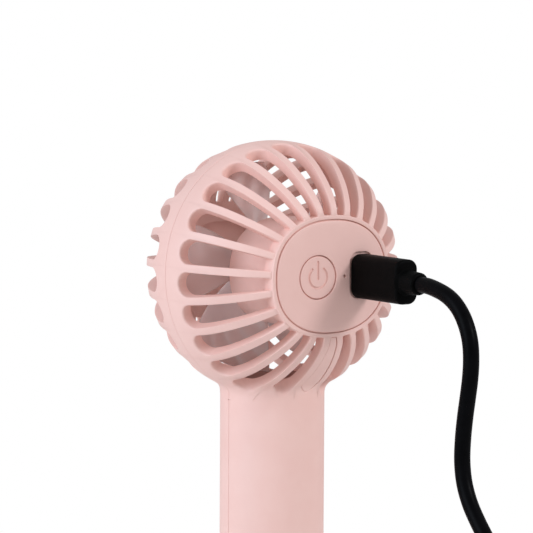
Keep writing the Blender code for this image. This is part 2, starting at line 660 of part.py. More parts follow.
# ---- motor ------------------------------------------------------------------------------------------
def make_motor_case():
    wall = 0.8 * MM
    bore = MOTOR_RADIUS - wall
    hole = 2.3 * MM
    can = [
        (MOTOR_RADIUS, CAN_REAR), (MOTOR_RADIUS, MOTOR_FRONT), (hole, MOTOR_FRONT),
        (hole, MOTOR_FRONT + wall), (bore, MOTOR_FRONT + wall), (bore, CAN_REAR),
    ]
    can_piece = turned("motor_can", STEEL, can, HEAD, REAR, steps=28)
    for side in (-1, 1):
        tag = f"tap_{side + 2}"
        drill(can_piece, side * MOTOR_SCREW_X, 0, 1.0 * MM, MOTOR_FRONT - 1 * MM, MOTOR_FRONT + 1.2 * MM, tag)
    bell_front = CAN_REAR + GAP
    slab(
        "motor_end_bell", WHITE, [circle(MOTOR_RADIUS, count=28), circle(hole)], BELL_REAR - bell_front,
        on_axis(along=(BELL_REAR + bell_front) / 2),
    )
    for tag, front, length in (("front", MOTOR_FRONT, 1.8 * MM), ("rear", bell_front, 1.6 * MM)):
        slab(
            f"{tag}_bush", BRONZE, [circle(2.0 * MM), circle(SHAFT_RADIUS + GAP)], length,
            on_axis(along=front + length / 2),
        )
    magnet_length = 7 * MM
    for number, middle in enumerate((0, math.pi), 1):
        band = arc_band(7.2 * MM, bore - GAP, middle, math.radians(130))
        slab(f"magnet_{number}", FERRITE, [band], magnet_length, on_axis(along=ARMATURE_MIDDLE))
    brush_size = (3.4 * MM, 0.8 * MM, 1 * MM)
    for number, side in enumerate((-1, 1), 1):
        block(f"brush_{number}", COPPER, brush_size, on_axis(side * 4.1 * MM, CAN_REAR - 0.25 * MM))
        block(
            f"motor_terminal_{number}", NICKEL, (1.6 * MM, 1.2 * MM, 0.5 * MM),
            on_axis(side * 4 * MM, BELL_REAR + GAP + 0.6 * MM, 6.5 * MM),
        )


def pole_star(poles, hub, half_neck, shoe, reach):
    """Closed outline of an armature core: necks out of a hub, each with a curved shoe."""
    def polar(radius, angle):
        return (radius * math.cos(angle), radius * math.sin(angle))

    base, top, wing = math.asin(half_neck / hub), math.asin(half_neck / shoe), math.radians(47)
    points = []
    for number in range(poles):
        middle = math.pi / 2 + 2 * math.pi * number / poles
        points += [polar(hub, middle - math.pi / poles), polar(hub, middle - base), polar(shoe, middle - top)]
        points.append(polar(shoe, middle - wing))
        points += [polar(reach, middle - wing + 2 * wing * i / 6) for i in range(7)]
        points += [polar(shoe, middle + wing), polar(shoe, middle + top), polar(hub, middle + base)]
    return points


def make_rotor(joint):
    poles = 3
    half_neck, core_length = 1.2 * MM, 6 * MM
    core = pole_star(poles, 2.4 * MM, half_neck, 5.0 * MM, 6.6 * MM)
    bore = circle(SHAFT_RADIUS + GAP, count=12)
    slab("rotor_core", STEEL, [core, bore], core_length, on_axis(along=ARMATURE_MIDDLE), joint=joint)
    coil_size, coil_radius = (3.9 * MM, core_length + 2 * MM, 1.2 * MM), 3.65 * MM
    neck_room = (2 * (half_neck + GAP), core_length + 2 * GAP, 3 * MM)
    for number in range(poles):
        middle = math.pi / 2 + 2 * math.pi * number / poles
        turn = Euler((0, math.pi / 2 - middle, 0))
        centre = on_axis(coil_radius * math.cos(middle), ARMATURE_MIDDLE, coil_radius * math.sin(middle))
        coil = block(f"winding_{number + 1}", COPPER, coil_size, centre, turn, joint)
        combine(coil, block(f"winding_room_{number + 1}", None, neck_room, centre, turn), "DIFFERENCE")
    commutator_spot = on_axis(along=CAN_REAR - 0.5 * MM)
    slab("commutator", COPPER, [circle(1.9 * MM, count=18), bore], 1.3 * MM, commutator_spot, joint=joint)
    shaft_front = IMPELLER_FRONT - 2 * MM
    rod(
        "motor_shaft", STEEL, SHAFT_RADIUS, on_axis(along=shaft_front), on_axis(along=BELL_REAR),
        sides=12, joint=joint,
    )
    make_impeller(joint)
    collar_spot = on_axis(along=IMPELLER_FRONT - 1 * MM)
    slab("shaft_collar", NICKEL, [circle(2.2 * MM), bore], 1.2 * MM, collar_spot, joint=joint)


def make_impeller(joint):
    """Hub with wide helical blades, moulded in one."""
    bore = SHAFT_RADIUS + GAP
    hub = [
        (IMPELLER_HUB, -IMPELLER_REAR), (bore, -IMPELLER_REAR), (bore, -IMPELLER_FRONT),
        (3.5 * MM, -IMPELLER_FRONT), (6.8 * MM, -IMPELLER_FRONT - 1.2 * MM),
        (IMPELLER_HUB, -IMPELLER_FRONT - 4 * MM),
    ]
    impeller = turned("impeller", SMOKE, hub[::-1], HEAD, FRONT, steps=28, joint=joint)
    mesh = bpy.data.meshes.new("blades")
    shape = bmesh.new()
    rows, columns = 5, 6
    for blade in range(BLADE_COUNT):
        grid = [
            [shape.verts.new(blade_point(blade, i / (rows - 1), j / (columns - 1))) for j in range(columns)]
            for i in range(rows)
        ]
        for i in range(rows - 1):
            for j in range(columns - 1):
                shape.faces.new((grid[i][j], grid[i + 1][j], grid[i + 1][j + 1], grid[i][j + 1]))
    shape.to_mesh(mesh)
    shape.free()
    blades = place(bpy.data.objects.new("blades", mesh), None, HEAD)
    thick = blades.modifiers.new("thickness", "SOLIDIFY")
    thick.thickness = 1.1 * MM
    thick.offset = 0
    combine(impeller, blades, "UNION")


def blade_point(blade, outward, along):
    """Point of a blade: outward runs root to tip, along runs leading edge to trailing edge."""
    root = IMPELLER_HUB - 1.2 * MM
    radius = root + (BLADE_TIP - root) * outward
    sweep = BLADE_SPAN * (1 - BLADE_TIP_TAPER * outward ** 4)
    clock = 2 * math.pi * blade / BLADE_COUNT + sweep * (along - 0.5) + BLADE_LEAN * outward
    depth = BLADE_ROOT_DEPTH + (BLADE_TIP_DEPTH - BLADE_ROOT_DEPTH) * outward
    level = BLADE_MIDDLE - depth * (0.5 - along)
    return (radius * math.sin(clock), level, radius * math.cos(clock))


# ---- battery and wires ------------------------------------------------------------------------------
def make_battery():
    bottom, top, radius = 22.5 * MM, 87.5 * MM, 9.15 * MM
    rod("battery_cell", CELL_BLUE, radius, (0, 0, bottom), (0, 0, top), sides=24)
    tab = 0.5 * MM
    rod("positive_tab", NICKEL, 3.4 * MM, (0, 0, top + GAP), (0, 0, top + GAP + tab))
    rod("negative_tab", NICKEL, 3.4 * MM, (0, 0, bottom - GAP - tab), (0, 0, bottom - GAP))
    opening = math.radians(50)
    outer = HANDLE_RADIUS - HANDLE_WALL - GAP
    for tag, height in (("lower", 33 * MM), ("upper", 77 * MM)):
        band = arc_band(radius + 1.5 * GAP, outer - GAP / 2, math.pi / 2, 2 * math.pi - opening, 24)
        slab(f"{tag}_foam_ring", FOAM, [band], 6 * MM, (0, 0, height), UP)
    rod("bottom_foam_pad", FOAM, 10 * MM, (0, 0, 9 * MM), (0, 0, bottom - 2 * MM), sides=20)
    make_wires(bottom, top)


def make_wires(bottom, top):
    """Red and black wires from the cell, behind the wire cover and onto the board."""
    inside = [
        (4.6, -33.4), (5.6, -30.1), (9.4, -29.0), (14.0, -27.3), (18.0, -24.8), (20.6, -21.6),
        (21.5, -17.5), (21.4, -13.0), (21.1, -9.4),
    ]
    for tag, finish, x, start in (
        ("red", RED, -0.2, [(1.0, 0.5, top / MM + 1.6), (0.6, 1.5, 93), (0.1, 3.2, 99)]),
        ("black", (BLACK[0], 0.5, 0.0), -1.8, [
            (0.0, -4.4, bottom / MM - 1.1), (0.0, -8.4, bottom / MM - 1.1), (0.0, -10.3, bottom / MM + 0.4),
            (0.0, -10.55, 26), (0.0, -10.55, 35), (0.0, -10.55, 60), (0.0, -10.55, 84), (-0.8, -8.6, 92),
            (-1.5, -0.5, 98),
        ]),
    ):
        head = HEAD.z / MM
        knots = [Vector(p) * MM for p in start]
        knots += [Vector((x, y, head + z)) * MM for y, z in inside]
        tube(f"battery_wire_{tag}", finish, smooth_route(knots, 5 * MM), 0.5 * MM)


def make_base_cap():
    spigot = HANDLE_RADIUS - HANDLE_WALL - GAP
    profile = [
        (0, 6 * MM), (spigot, 6 * MM), (spigot, BASE_CAP_HEIGHT), (HANDLE_RADIUS, BASE_CAP_HEIGHT),
        (HANDLE_RADIUS, 0.7 * MM), (HANDLE_RADIUS - 0.7 * MM, 0), (0, 0),
    ]
    turned("base_cap", PINK, profile, (0, 0, 0), UP, steps=40)


# ---- charging lead ----------------------------------------------------------------------------------
def soften_edges(moulding):
    """Round the end edges of a soft plug body."""
    soften = moulding.modifiers.new("soft_edges", "BEVEL")
    soften.width = 0.7 * MM
    soften.segments = 2
    soften.angle_limit = math.radians(60)


def make_lead(joint):
    body = slab(
        "plug_overmold", BLACK, [rounded_bar(PLUG_SHORT, PLUG_LONG, 2.6 * MM)], PLUG_BACK - PLUG_FACE,
        on_axis(SOCKET_X, (PLUG_FACE + PLUG_BACK) / 2), joint=joint,
    )
    soften_edges(body)
    wall = 0.3 * MM
    long, short = 8.3 * MM, 2.5 * MM
    tip = PLUG_FACE - 6.6 * MM
    slab(
        "plug_shell", STEEL,
        [rounded_bar(short, long, short / 2 - 0.01 * MM),
         rounded_bar(short - 2 * wall, long - 2 * wall, short / 2 - wall - 0.01 * MM)],
        PLUG_FACE - GAP - tip, on_axis(SOCKET_X, (PLUG_FACE - GAP + tip) / 2), joint=joint,
    )
    rod(
        "plug_collar", BLACK, 3.3 * MM, on_axis(SOCKET_X, PLUG_BACK + GAP), on_axis(SOCKET_X, COLLAR_BACK),
        joint=joint, tip=2.8 * MM,
    )
    drop = [Vector((SOCKET_X, y * MM, z * MM)) for y, z in DROP_ROUTE]
    tube("cord_drop", BLACK, smooth_route(drop, 6 * MM), CORD_RADIUS, joint)
    thick = 2 * CORD_RADIUS
    ring = [(COIL_INNER, thick), (COIL_OUTER, thick), (COIL_OUTER, 0), (COIL_INNER, 0)]
    turned("cord_coil", BLACK, ring, COIL_CENTRE, UP, steps=36, joint=joint)
    tail = [Vector(point) * MM for point in TAIL_ROUTE]
    tube("cord_tail", BLACK, smooth_route(tail, 6 * MM), CORD_RADIUS, joint)
    make_far_plug(joint)


def make_far_plug(joint):
    """The flat plug at the lead's other end, lying on the ground beside the handle."""
    x, y, z = FAR_PLUG
    collar, body, shell = 5 * MM, 21 * MM, 12 * MM
    rod("usb_a_collar", BLACK, 2.8 * MM, (x, y, z), (x, y - collar, z), joint=joint, tip=3.2 * MM)
    y -= collar + GAP
    outline = rounded_bar(13 * MM, 2 * z, 2 * MM)
    soften_edges(slab("usb_a_overmold", BLACK, [outline], body, (x, y - body / 2, z), joint=joint))
    y -= body + GAP
    wall = 0.3 * MM
    width, height = 12 * MM, 4.5 * MM
    sleeve = [
        rounded_bar(width, height, 0.4 * MM),
        rounded_bar(width - 2 * wall, height - 2 * wall, 0.2 * MM),
    ]
    slab("usb_a_shell", STEEL, sleeve, shell, (x, y - shell / 2, z), joint=joint)


def main():
    make_rear_shell()
    make_front_shell()
    make_hub_cap()
    hub_plate("front_cap", -1)
    make_wire_cover()
    make_base_cap()
    make_motor_pod()
    make_board()
    make_screws()
    make_motor_case()
    make_battery()
    make_rotor(joint_axis("fan_axis", HEAD))
    make_button(joint_axis("button_axis", on_axis(BUTTON_X)))
    make_lead(joint_axis("plug_axis", on_axis(SOCKET_X)))


main()
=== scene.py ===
import json
import math

import bmesh
import bpy
import numpy as np
from mathutils import Matrix


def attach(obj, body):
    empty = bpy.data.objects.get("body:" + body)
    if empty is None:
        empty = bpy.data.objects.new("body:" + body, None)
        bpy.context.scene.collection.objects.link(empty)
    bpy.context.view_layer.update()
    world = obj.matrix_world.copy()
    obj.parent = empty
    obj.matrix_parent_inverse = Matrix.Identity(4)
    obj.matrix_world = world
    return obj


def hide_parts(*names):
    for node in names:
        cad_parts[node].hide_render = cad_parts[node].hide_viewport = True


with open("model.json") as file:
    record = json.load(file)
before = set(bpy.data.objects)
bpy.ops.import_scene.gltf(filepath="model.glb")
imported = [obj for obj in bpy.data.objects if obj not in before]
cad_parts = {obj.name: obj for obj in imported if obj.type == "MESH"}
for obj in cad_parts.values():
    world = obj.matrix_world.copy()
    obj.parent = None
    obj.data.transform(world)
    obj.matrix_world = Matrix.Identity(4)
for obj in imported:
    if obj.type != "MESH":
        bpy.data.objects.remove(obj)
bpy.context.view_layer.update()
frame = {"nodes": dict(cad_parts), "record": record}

# Looks of the handheld fan. Everything is in metres in the model's own frame: +Z up the handle, +Y out
# of the rear hub. Points of the head are given from its centre as a clock angle, which runs about the
# fan's axis from twelve o'clock towards +X, and an angle above the parting plane y = 0.

MM = 0.001
JOINTS = {joint["name"]: joint for joint in frame["record"]["behaviour"]["joints"]}
HEAD = np.array(JOINTS["fan_spin"]["pos_m"])

# ---- ball cage ----
BALL_RADIUS = 34.2 * MM
BALL_FLATTENING = 1.2 * MM
HUB_RIM_ANGLE = math.radians(56)
SHELL_WALL = 3.0 * MM
SEAM = 0.04 * MM                    # half the gap between the two mouldings
SEAM_ROUND = 0.16 * MM              # rounding of the mouldings' edges along that gap
SLOT_COUNT = 25
RIB_SHIFT = 0.053                   # most that a rib is drawn round from even spacing, in radians
COVERED_SLOT = 12
RIB_WIDTH = 2.15 * MM
SLOT_OUTER_END = 5.25 * MM
SLOT_EDGE = 0.58 * MM               # rounding of an open slot's outer edge
SLOT_CORNER = 0.6 * MM              # fillet between a rib and the hub ring

# ---- hub ----
OVAL_POWER = 2.3
HUB_RIM = np.array((18.6, 16.1)) * MM
CAP_SEAT = np.array((17.5, 15.0)) * MM
CAP_OVAL = np.array((17.2, 14.7)) * MM
LEDGE_OVAL = np.array((13.4, 10.9)) * MM
HUB_FACE = 27.35 * MM
CAP_BACK = 26.5 * MM
CAP_CROWN = 27.95 * MM
CAP_DISH = 0.42 * MM                # how far the crown falls from its middle to its edge
CAP_ROUND = 0.3 * MM                # rounding of that edge
REAR_HUB = (23.4 * MM, 25.1 * MM)   # back of the hub ring and face of its ledge
FRONT_HUB = (24.3 * MM, 26.2 * MM)

# ---- handle ----
HANDLE_RADIUS = 14 * MM
HANDLE_BORE = 11.8 * MM
HANDLE_FILLET = 3.6 * MM
HANDLE_FOOT = 3.3 * MM
THROAT_DROP = 34.6 * MM             # how far below the ball's centre the handle proper begins
THROAT_ANGLE = math.atan2(HANDLE_RADIUS, THROAT_DROP)
THROAT_SLOT_ANGLE = math.radians(23.7)   # how near to straight down a slot may end

# ---- controls, x measured from the hub's middle ----
BUTTON_X = 4.6 * MM
BUTTON_RADIUS = 5.55 * MM
BUTTON_CROWN = CAP_CROWN - 0.1 * MM
LED_X = -3.9 * MM
SOCKET_X = -9.3 * MM

# ---- charging lead ----
CORD_RADIUS = 2.1 * MM
PLUG_LONG, PLUG_SHORT = 11.7 * MM, 7.0 * MM
PLUG_SAG = 0.25 * MM                # the plug hangs a little low in its socket
PLUG_FACE = 27.5 * MM
PLUG_BACK = 48.2 * MM
COLLAR_BACK = 54.0 * MM
COIL_MIDDLE = np.array((8.2, 65.3)) * MM
COIL_START = 17.5 * MM
COIL_PITCH = 4.3 * MM
COIL_TURNS = 2

# Route of the cord's hanging stretch in the plane x = SOCKET_X, as (y, z) in millimetres.
DROP_ROUTE = (
    (54.3, 137.4), (58.6, 137.1), (64.6, 135.8), (68.9, 133.8), (72.2, 130.9), (74.5, 127.3),
    (75.7, 123.6), (76.0, 119.3), (75.6, 114.8), (74.7, 110.0), (73.7, 105.0), (72.9, 99.3),
    (72.7, 93.6), (73.7, 88.2), (76.1, 83.3), (79.6, 78.9), (83.3, 74.9), (86.5, 70.4),
    (88.7, 65.0), (89.6, 58.8), (89.3, 52.0), (87.9, 44.8), (85.8, 37.4), (83.4, 30.0),
    (81.1, 23.0), (78.7, 16.6), (75.8, 11.0), (73.6, 8.2), (70.7, 4.9), (67.9, 2.9),
)
# Route of the short tail from the coil to the far plug, as (x, y, z) in millimetres.
TAIL_ROUTE = (
    (-18.4, 48.9, 2.1), (-19.6, 44.5, 2.2), (-21.7, 39.7, 2.6), (-23.6, 35.1, 3.1), (-24.5, 30.6, 3.4),
)
FAR_PLUG = np.array((-24.7, 29.7, 3.5)) * MM


# ---- camera and light ----
def facing(right, up, back, spot):
    """Matrix of a camera or light at a spot, looking away from its back direction."""
    turn = np.eye(4)
    turn[:3] = np.stack([right, up, back, spot], -1)
    return Matrix(turn.tolist())


def add_camera():
    """A long lens behind and to the fan's left, looking slightly down on its head."""
    azimuth, elevation = math.radians(145.95), math.radians(5.43)
    roll, distance = math.radians(0.3), 1.0527
    aside, above, lens = 1.74 * MM, 0.38 * MM, 265.6
    back = np.array((
        math.sin(azimuth) * math.cos(elevation),
        -math.cos(azimuth) * math.cos(elevation),
        math.sin(elevation),
    ))
    right = np.array((math.cos(azimuth), math.sin(azimuth), 0.0))
    up = np.cross(back, right)
    spot = HEAD + distance * back - aside * right + above * up
    tilted_right = math.cos(roll) * right + math.sin(roll) * up
    tilted_up = np.cross(back, tilted_right)
    data = bpy.data.cameras.new("camera")
    data.lens = lens
    data.sensor_width = 36
    data.clip_start, data.clip_end = 0.05, 20
    camera = bpy.data.objects.new("camera", data)
    bpy.context.scene.collection.objects.link(camera)
    camera.matrix_world = facing(tilted_right, tilted_up, back, spot)
    bpy.context.scene.camera = camera


def area_light(name, spot, size, power, tint=(1, 1, 1)):
    """Square soft box at a spot given from the head's centre, facing the head."""
    data = bpy.data.lights.new(name, "AREA")
    data.shape = "SQUARE"
    data.size = size
    data.energy = power
    data.color = tint
    light = bpy.data.objects.new(name, data)
    bpy.context.scene.collection.objects.link(light)
    spot = np.array(spot)
    back = spot / np.linalg.norm(spot)
    right = np.cross((0, 0, 1), back)
    right /= np.linalg.norm(right)
    light.matrix_world = facing(right, np.cross(back, right), back, HEAD + spot)


def add_studio():
    """White cyclorama light, two soft boxes and a pale round table top."""
    bpy.context.scene.view_settings.view_transform = "Standard"
    world = bpy.data.worlds.new("studio")
    bpy.context.scene.world = world
    world.use_nodes = True
    tree = world.node_tree
    tree.nodes.clear()
    output = tree.nodes.new("ShaderNodeOutputWorld")
    seen = add(tree, "ShaderNodeBackground", {"Color": (1, 1, 1, 1), "Strength": 1.0})
    cast = add(tree, "ShaderNodeBackground", {"Color": (0.98, 0.97, 1.0, 1), "Strength": 0.53})
    ray = add(tree, "ShaderNodeLightPath", {})
    mix = add(tree, "ShaderNodeMixShader", {0: ray.outputs["Is Camera Ray"], 1: cast, 2: seen})
    tree.links.new(mix.outputs[0], output.inputs["Surface"])
    area_light("left_box", (1.05, -0.10, 0.38), 0.80, 8.1, (0.82, 0.92, 1.06))
    area_light("right_box", (-0.54, 1.00, 0.68), 0.32, 7.0, (0.93, 0.94, 1.0))
    table, radius = grid_patch(np.linspace(0, 1, 3), np.linspace(0, 2 * math.pi, 97)), 0.34
    reach, angle = table
    spots = np.stack([radius * reach * np.cos(angle), radius * reach * np.sin(angle), 0 * angle], -1)
    top = make_mesh("table_top", [surface(spots[:, :-1], wrap_columns=True)])
    bpy.context.scene.collection.objects.link(top)
    top.data.materials.append(painted_board())


# ---- surface tools ----
def grid_patch(rows, columns):
    """Two parameter arrays of a grid, one value per crossing."""
    return np.meshgrid(rows, columns, indexing="ij")


def surface(points, wrap_rows=False, wrap_columns=False, keep=None):
    """A grid of points with its four-sided faces; keep picks the faces that stay."""
    rows, columns = points.shape[:2]
    row = np.arange(rows if wrap_rows else rows - 1)[:, None]
    column = np.arange(columns if wrap_columns else columns - 1)[None, :]
    next_row, next_column = (row + 1) % rows, (column + 1) % columns
    faces = np.stack([
        row * columns + column, next_row * columns + column,
        next_row * columns + next_column, row * columns + next_column,
    ], -1)
    if keep is not None:
        faces = faces[keep]
    return points.reshape(-1, 3), faces.reshape(-1, 4).tolist()


def end_faces(points):
    """The two faces that close a grid of rings, over its first ring and its last."""
    rows, columns = points.shape[:2]
    return [list(range(columns)), list(range((rows - 1) * columns, rows * columns))]


def make_mesh(name, surfaces, crease=38):
    """One mesh object from surfaces whose edges meet, facing out, smooth up to the crease angle."""
    spots = np.concatenate([points for points, _ in surfaces])
    starts = np.cumsum([0] + [len(points) for points, _ in surfaces])
    faces = [
        [corner + int(start) for corner in face]
        for (_, patch), start in zip(surfaces, starts) for face in patch
    ]
    mesh = bpy.data.meshes.new(name)
    mesh.from_pydata(spots.tolist(), [], faces)
    shape = bmesh.new()
    shape.from_mesh(mesh)
    bmesh.ops.remove_doubles(shape, verts=shape.verts, dist=0.002 * MM)
    bmesh.ops.dissolve_degenerate(shape, edges=shape.edges, dist=0.0005 * MM)
    bmesh.ops.recalc_face_normals(shape, faces=shape.faces)
    shape.to_mesh(mesh)
    shape.free()
    mesh.shade_smooth()
    mesh.set_sharp_from_angle(angle=math.radians(crease))
    return bpy.data.objects.new(name, mesh)


def add_piece(name, surfaces, material, body, stands_for=(), crease=38):
    """Put a new piece on its body, in place of the plain solids that it stands for."""
    piece = make_mesh(name, surfaces, crease)
    bpy.context.scene.collection.objects.link(piece)
    piece.data.materials.append(material)
    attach(piece, body)
    if stands_for:
        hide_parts(*stands_for)
    return piece


def from_head(clock, angle, reach, side):
    """Points of the head at a reach from its centre; side is 1 at the rear and -1 at the front."""
    direction = np.stack([
        np.cos(angle) * np.sin(clock), side * np.sin(angle), np.cos(angle) * np.cos(clock),
    ], -1)
    return HEAD + reach[..., None] * direction


def turned(profile, spot, side, sides=96):
    """A profile of (radius, height) carried round an axis along Y, or along Z when side is 0."""
    radius, height = np.array(profile).T
    turn = 2 * math.pi * np.arange(sides) / sides
    across = radius[:, None] * np.cos(turn)
    upward = radius[:, None] * np.sin(turn)
    along = height[:, None] + 0 * turn
    shifted = (across, upward, along) if side == 0 else (across, side * along, upward)
    return surface(np.array(spot) + np.stack(shifted, -1), wrap_columns=True)


def rounded(corners, radius, steps=5):
    """A polyline with each inner corner replaced by an arc of up to that radius, as an array of points.

    The arc leaves one side and meets the other at the same distance from the corner, and its points
    come from the quadratic curve through those two points with the corner as its handle.
    """
    corners = [np.array(corner, float) for corner in corners]
    points = [corners[0]]
    for before, corner, after in zip(corners, corners[1:], corners[2:]):
        back, on = before - corner, after - corner
        reach = min(radius, 0.45 * np.linalg.norm(back), 0.45 * np.linalg.norm(on))
        start = corner + back / np.linalg.norm(back) * reach
        end = corner + on / np.linalg.norm(on) * reach
        t = np.linspace(0, 1, steps)[:, None]
        points.extend((1 - t) ** 2 * start + 2 * t * (1 - t) * corner + t ** 2 * end)
    return np.array([*points, corners[-1]])


def edge_drop(distance, radius):
    """How far a quarter-round edge has fallen, at a distance in from the edge."""
    inward = np.clip(radius - distance, 0, radius)
    return radius - np.sqrt(np.maximum(radius ** 2 - inward ** 2, 0))


def edge_rows(radius, steps=5):
    """Distances in from a rounded edge that follow its quarter circle evenly."""
    return radius * (1 - np.cos(np.linspace(0, math.pi / 2, steps)))


def oval_radius(halves, clock):
    """Distance of the oval's edge from its middle, |sin c / a|^p + |cos c / b|^p = r^-p."""
    across = np.abs(np.sin(clock) / halves[0]) ** OVAL_POWER
    upward = np.abs(np.cos(clock) / halves[1]) ** OVAL_POWER
    return (across + upward) ** (-1 / OVAL_POWER)


# ---- cage ----
def ball_radius(angle, side=1):
    """Radius of the ball, which falls short of a sphere towards the hub, and sooner so at the rear."""
    rise = np.clip((angle - math.radians(17)) / math.radians(22), 0, 1)
    early = 0.45 * MM * rise ** 2 * (3 - 2 * rise) * np.clip(1.6 - angle / math.radians(62), 0, 1)
    return BALL_RADIUS - BALL_FLATTENING * (angle / HUB_RIM_ANGLE) ** 2 - (early if side > 0 else 0 * early)


def outer_reach(clock, angle, side=1):
    """Distance of the outer skin from the ball's centre.

    It is the ball's radius, cut off softly by the plane of the hub's face. Round straight down it is
    the fillet that rolls between the ball and the handle, and inside that the handle's own wall.
    """
    ball = ball_radius(angle, side)
    flat = HUB_FACE / np.maximum(np.sin(angle), 0.05)
    blend = 0.8 * MM
    overlap = np.maximum(blend - np.abs(ball - flat), 0) / blend
    ball = np.minimum(ball, flat) - overlap ** 2 * blend / 4
    off = np.arccos(np.clip(-np.cos(angle) * np.cos(clock), -1, 1))
    roll_x = HANDLE_RADIUS + HANDLE_FILLET
    roll_z = np.sqrt((ball + HANDLE_FILLET) ** 2 - roll_x ** 2)
    toward = roll_x * np.sin(off) + roll_z * np.cos(off)
    beside = np.maximum(toward ** 2 - roll_x ** 2 - roll_z ** 2 + HANDLE_FILLET ** 2, 0)
    fillet = toward - np.sqrt(beside)
    wall = HANDLE_RADIUS / np.maximum(np.sin(off), 0.05)
    on_ball = off > np.arcsin(roll_x / (ball + HANDLE_FILLET))
    on_wall = off < np.arctan2(HANDLE_RADIUS, roll_z)
    return np.where(on_ball, ball, np.where(on_wall, wall, fillet))


def inner_reach(angle, hub_back):
    """Distance of the inner skin, which turns flat behind the hub so that the ribs deepen there."""
    return np.minimum(ball_radius(angle) - SHELL_WALL, hub_back / np.maximum(np.sin(angle), 0.05))


def hub_angle(clock, sink=0.0):
    """Angle at which the outer skin passes into the side of the hub ring, sunk in by a depth."""
    angle = np.full_like(clock, HUB_RIM_ANGLE)
    for _ in range(14):
        angle = np.arccos(np.clip((oval_radius(HUB_RIM, clock) - sink) / outer_reach(clock, angle), 0, 1))
    return angle


def low_angle(clock):
    """Angle of the moulding's lower border: the parting plane, or the ring where the handle begins."""
    ring = np.arccos(np.clip(math.cos(THROAT_ANGLE) / np.maximum(-np.cos(clock), 1e-6), -1, 1))
    return np.maximum(np.where(np.cos(clock) < 0, ring, 0), math.asin(SEAM / BALL_RADIUS))


def slot_span(number):
    """Clock angle of a slot's middle, and half the angle between its two ribs.

    The ribs fan out from a point a little beside the cap's middle, so they stand closer on one side.
    """
    even = 2 * math.pi * (number + np.arange(2)) / SLOT_COUNT
    first, last = even - RIB_SHIFT * np.cos(even)
    return (first + last) / 2, (last - first) / 2


def slot_end_angle(clock):
    """Angle above the parting plane of a slot's round end, which stops short of the handle."""
    cosine = math.cos(THROAT_SLOT_ANGLE) / max(-math.cos(clock), 1e-6)
    near_handle = math.acos(cosine) if cosine < 1 else 0.0
    return max(math.asin(SLOT_OUTER_END / BALL_RADIUS), near_handle)


def slot_half_width(angle, half_pitch):
    """Half of the gap between two ribs of even width, at an angle above the parting plane."""
    return BALL_RADIUS * np.cos(angle) * half_pitch - RIB_WIDTH / 2


def slot_middle(clock, half_pitch):
    """Angle of the centre of a slot's round end."""
    middle = slot_end_angle(clock)
    for _ in range(6):
        middle = slot_end_angle(clock) + slot_half_width(middle, half_pitch) / BALL_RADIUS
    return middle


HUB_STEPS = np.array((-0.5, 0, 0.05, 0.15, 0.3, 0.45, 0.6)) * MM   # distances from the hub ring's side
END_STEPS = 31


def even_border(first, last):
    """Clock angles along the lower border between two clocks, evenly spaced in length along it."""
    dense = np.linspace(first, last, 4001)
    angle = low_angle(dense)
    points = from_head(dense, angle, outer_reach(dense, angle), 1)
    length = np.concatenate([[0], np.cumsum(np.linalg.norm(np.diff(points, axis=0), axis=1))])
    return np.interp(np.linspace(0, length[-1], END_STEPS), length, dense)


def slot_edges(clock, half_pitch):
    """The edge of one slot and the border of its tile, as matching arrays of (clock, angle).

    The edge runs out along one rib, round the slot's end and back along the other rib. The border
    runs beside it, down the middle of the one rib, along the lower border and up the other rib.
    """
    middle = slot_middle(clock, half_pitch)
    rim = float(hub_angle(np.array([clock]))[0])
    plain = np.linspace(1.2 * MM, (rim - middle) * BALL_RADIUS, 22)[:-1]
    below_rim = np.concatenate([HUB_STEPS, plain])
    angle = rim - below_rim / BALL_RADIUS
    short_of_corner = SLOT_CORNER - np.clip(below_rim, 0, SLOT_CORNER)
    fillet = SLOT_CORNER - np.sqrt(SLOT_CORNER ** 2 - short_of_corner ** 2)
    half = slot_half_width(angle, half_pitch) - fillet
    sweep = np.linspace(0, math.pi, END_STEPS)
    round_end = float(slot_half_width(middle, half_pitch))
    end_angle = middle - round_end * np.sin(sweep) / BALL_RADIUS
    across = np.concatenate([-half, -round_end * np.cos(sweep), half[::-1]])
    along = np.concatenate([angle, end_angle, angle[::-1]])
    edge = (clock + across / (BALL_RADIUS * np.cos(along)), along)

    sides = []
    for border in (clock - half_pitch, clock + half_pitch):
        rim = float(hub_angle(np.array([border]))[0])
        length = (rim - float(low_angle(np.array([border]))[0])) * BALL_RADIUS
        last = length - SEAM_ROUND - edge_rows(SEAM_ROUND)[::-1][:-1] + SEAM_ROUND
        plain = np.linspace(1.2 * MM, length - 2 * SEAM_ROUND, 21 - len(last))
        below_rim = np.concatenate([HUB_STEPS, plain, last])
        sides.append((np.full_like(below_rim, border), rim - below_rim / BALL_RADIUS))
    low = even_border(clock - half_pitch, clock + half_pitch)
    for corner in (math.pi - THROAT_ANGLE, math.pi + THROAT_ANGLE):
        nearest = 1 + np.argmin(np.abs(low[1:-1] - corner))
        if low[0] < corner < low[-1]:
            low[nearest] = corner
    border_clock = np.concatenate([sides[0][0], low, sides[1][0][::-1]])
    border_angle = np.concatenate([sides[0][1], low_angle(low), sides[1][1][::-1]])
    return edge, (border_clock, border_angle)


